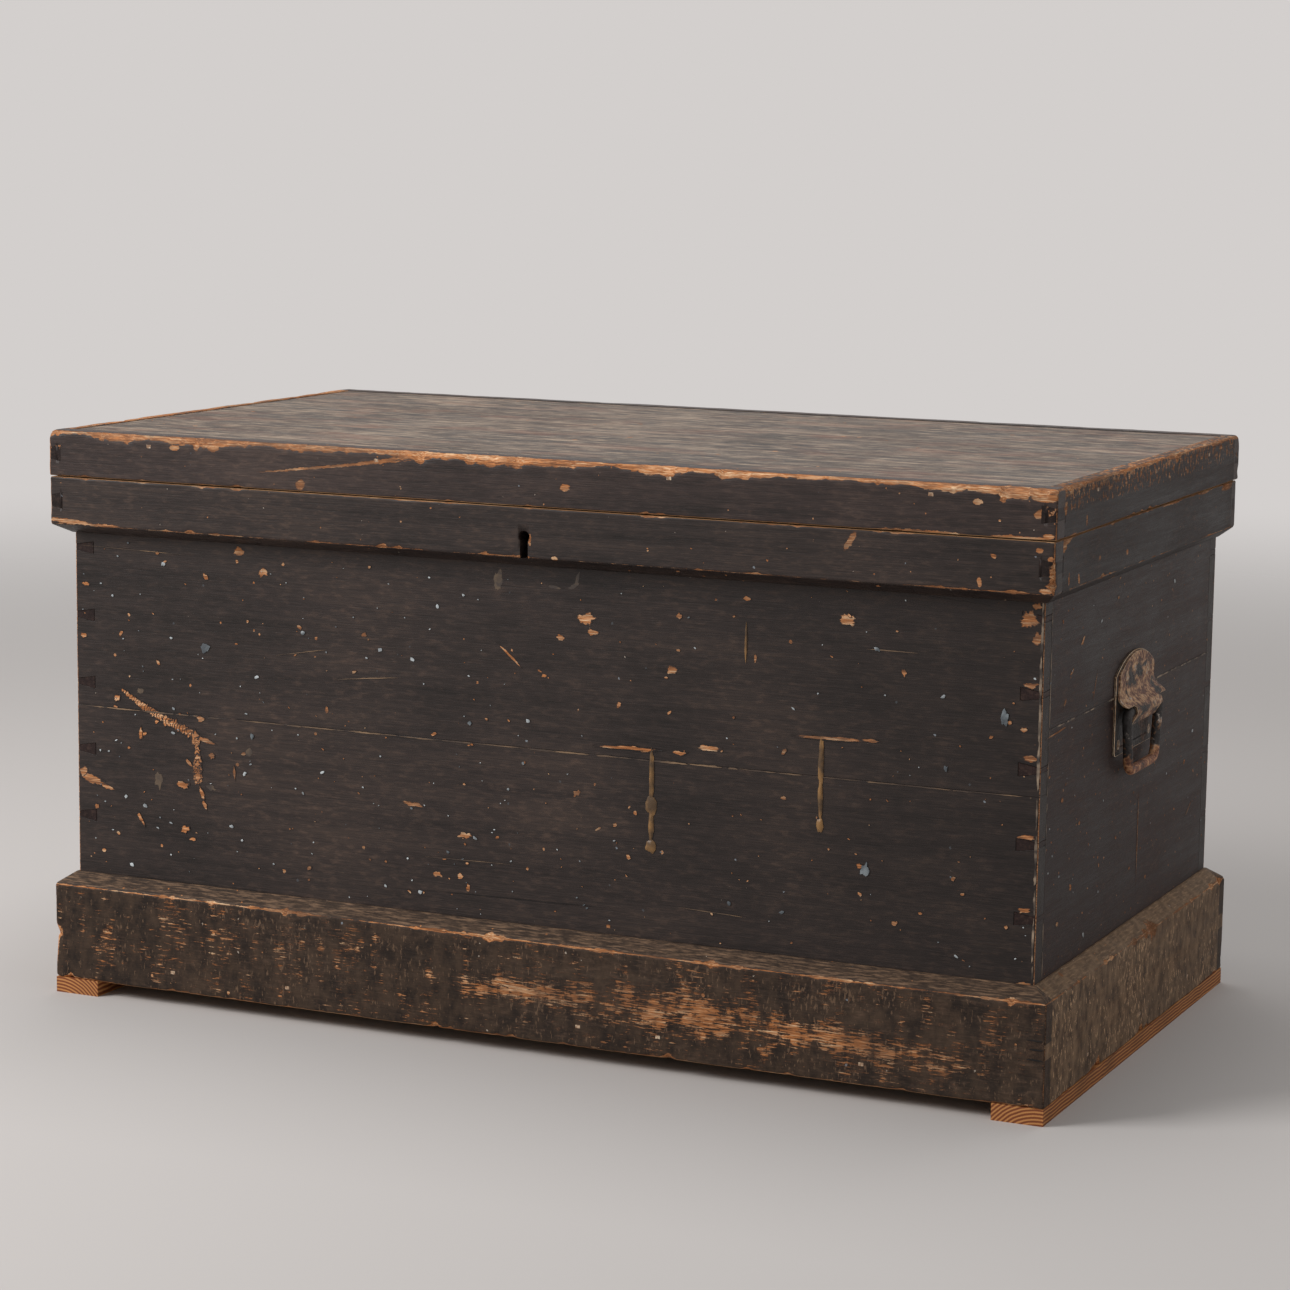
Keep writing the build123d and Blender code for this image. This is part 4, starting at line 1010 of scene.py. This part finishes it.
# %% Lay the floor
BACKDROP = linear("d3cfcd")


def studio_floor():
    """A pale matt floor, 12 m across, that thins away to the backdrop."""
    bm = bmesh.new()
    bmesh.ops.create_circle(bm, cap_ends=True, segments=96, radius=6.0)
    floor = new_piece("studio_floor", bm)
    m = new_recipe("pale_studio_floor")
    reach = m.add("VectorMath", {0: m.where}, "Value", operation="LENGTH")
    fade = m.add("MapRange", {0: reach, 1: 1.6, 2: 4.6}, 0, interpolation_type="SMOOTHSTEP")
    paint = m.add("BsdfDiffuse", {"Color": linear("c6c1be")}, 0)
    mixed = m.add("MixShader", {0: fade, 1: paint, 2: m.add("BsdfTransparent", out=0)}, 0)
    m.add("OutputMaterial", {0: mixed})
    dress(floor, m.owner)


def studio_world(strength):
    """Plain white light from all round, and the backdrop's colour where a ray looks at it."""
    m = Recipe(bpy.data.worlds.new("studio"))
    bpy.context.scene.world = m.owner
    path = m.add("LightPath").outputs
    looked = m.calc("MAXIMUM", path["Is Camera Ray"], path["Is Glossy Ray"])
    looked = m.calc("MAXIMUM", looked, path["Is Transmission Ray"])
    light = m.add("Background", {0: (1, 1, 1, 1), 1: strength}, 0)
    shown = m.add("Background", {0: BACKDROP, 1: 1.0}, 0)
    m.add("OutputWorld", {0: m.add("MixShader", {0: looked, 1: light, 2: shown}, 0)})


def softbox(name, place, target, size, watts):
    """A square soft light that faces a point."""
    lamp = placed(name, bpy.data.lights.new(name, "AREA"))
    lamp.data.size, lamp.data.energy = size, watts
    lamp.location = place
    lamp.rotation_euler = (Vector(target) - Vector(place)).to_track_quat("-Z", "Y").to_euler()


studio_floor()
studio_world(0.30)
softbox("key_light", (-2.5, -2.35, 2.4), (-0.2, 0, 0.3), 1.7, 122)
softbox("side_light", (3.2, -1.2, 1.9), (0.2, 0, 0.3), 1.6, 3)
softbox("top_light", (0.0, 0.6, 3.4), (0, 0, 0.3), 2.2, 45)
bpy.context.scene.view_settings.view_transform = "Standard"
print("lights placed, backdrop in linear light:", [round(v, 2) for v in BACKDROP[:3]])
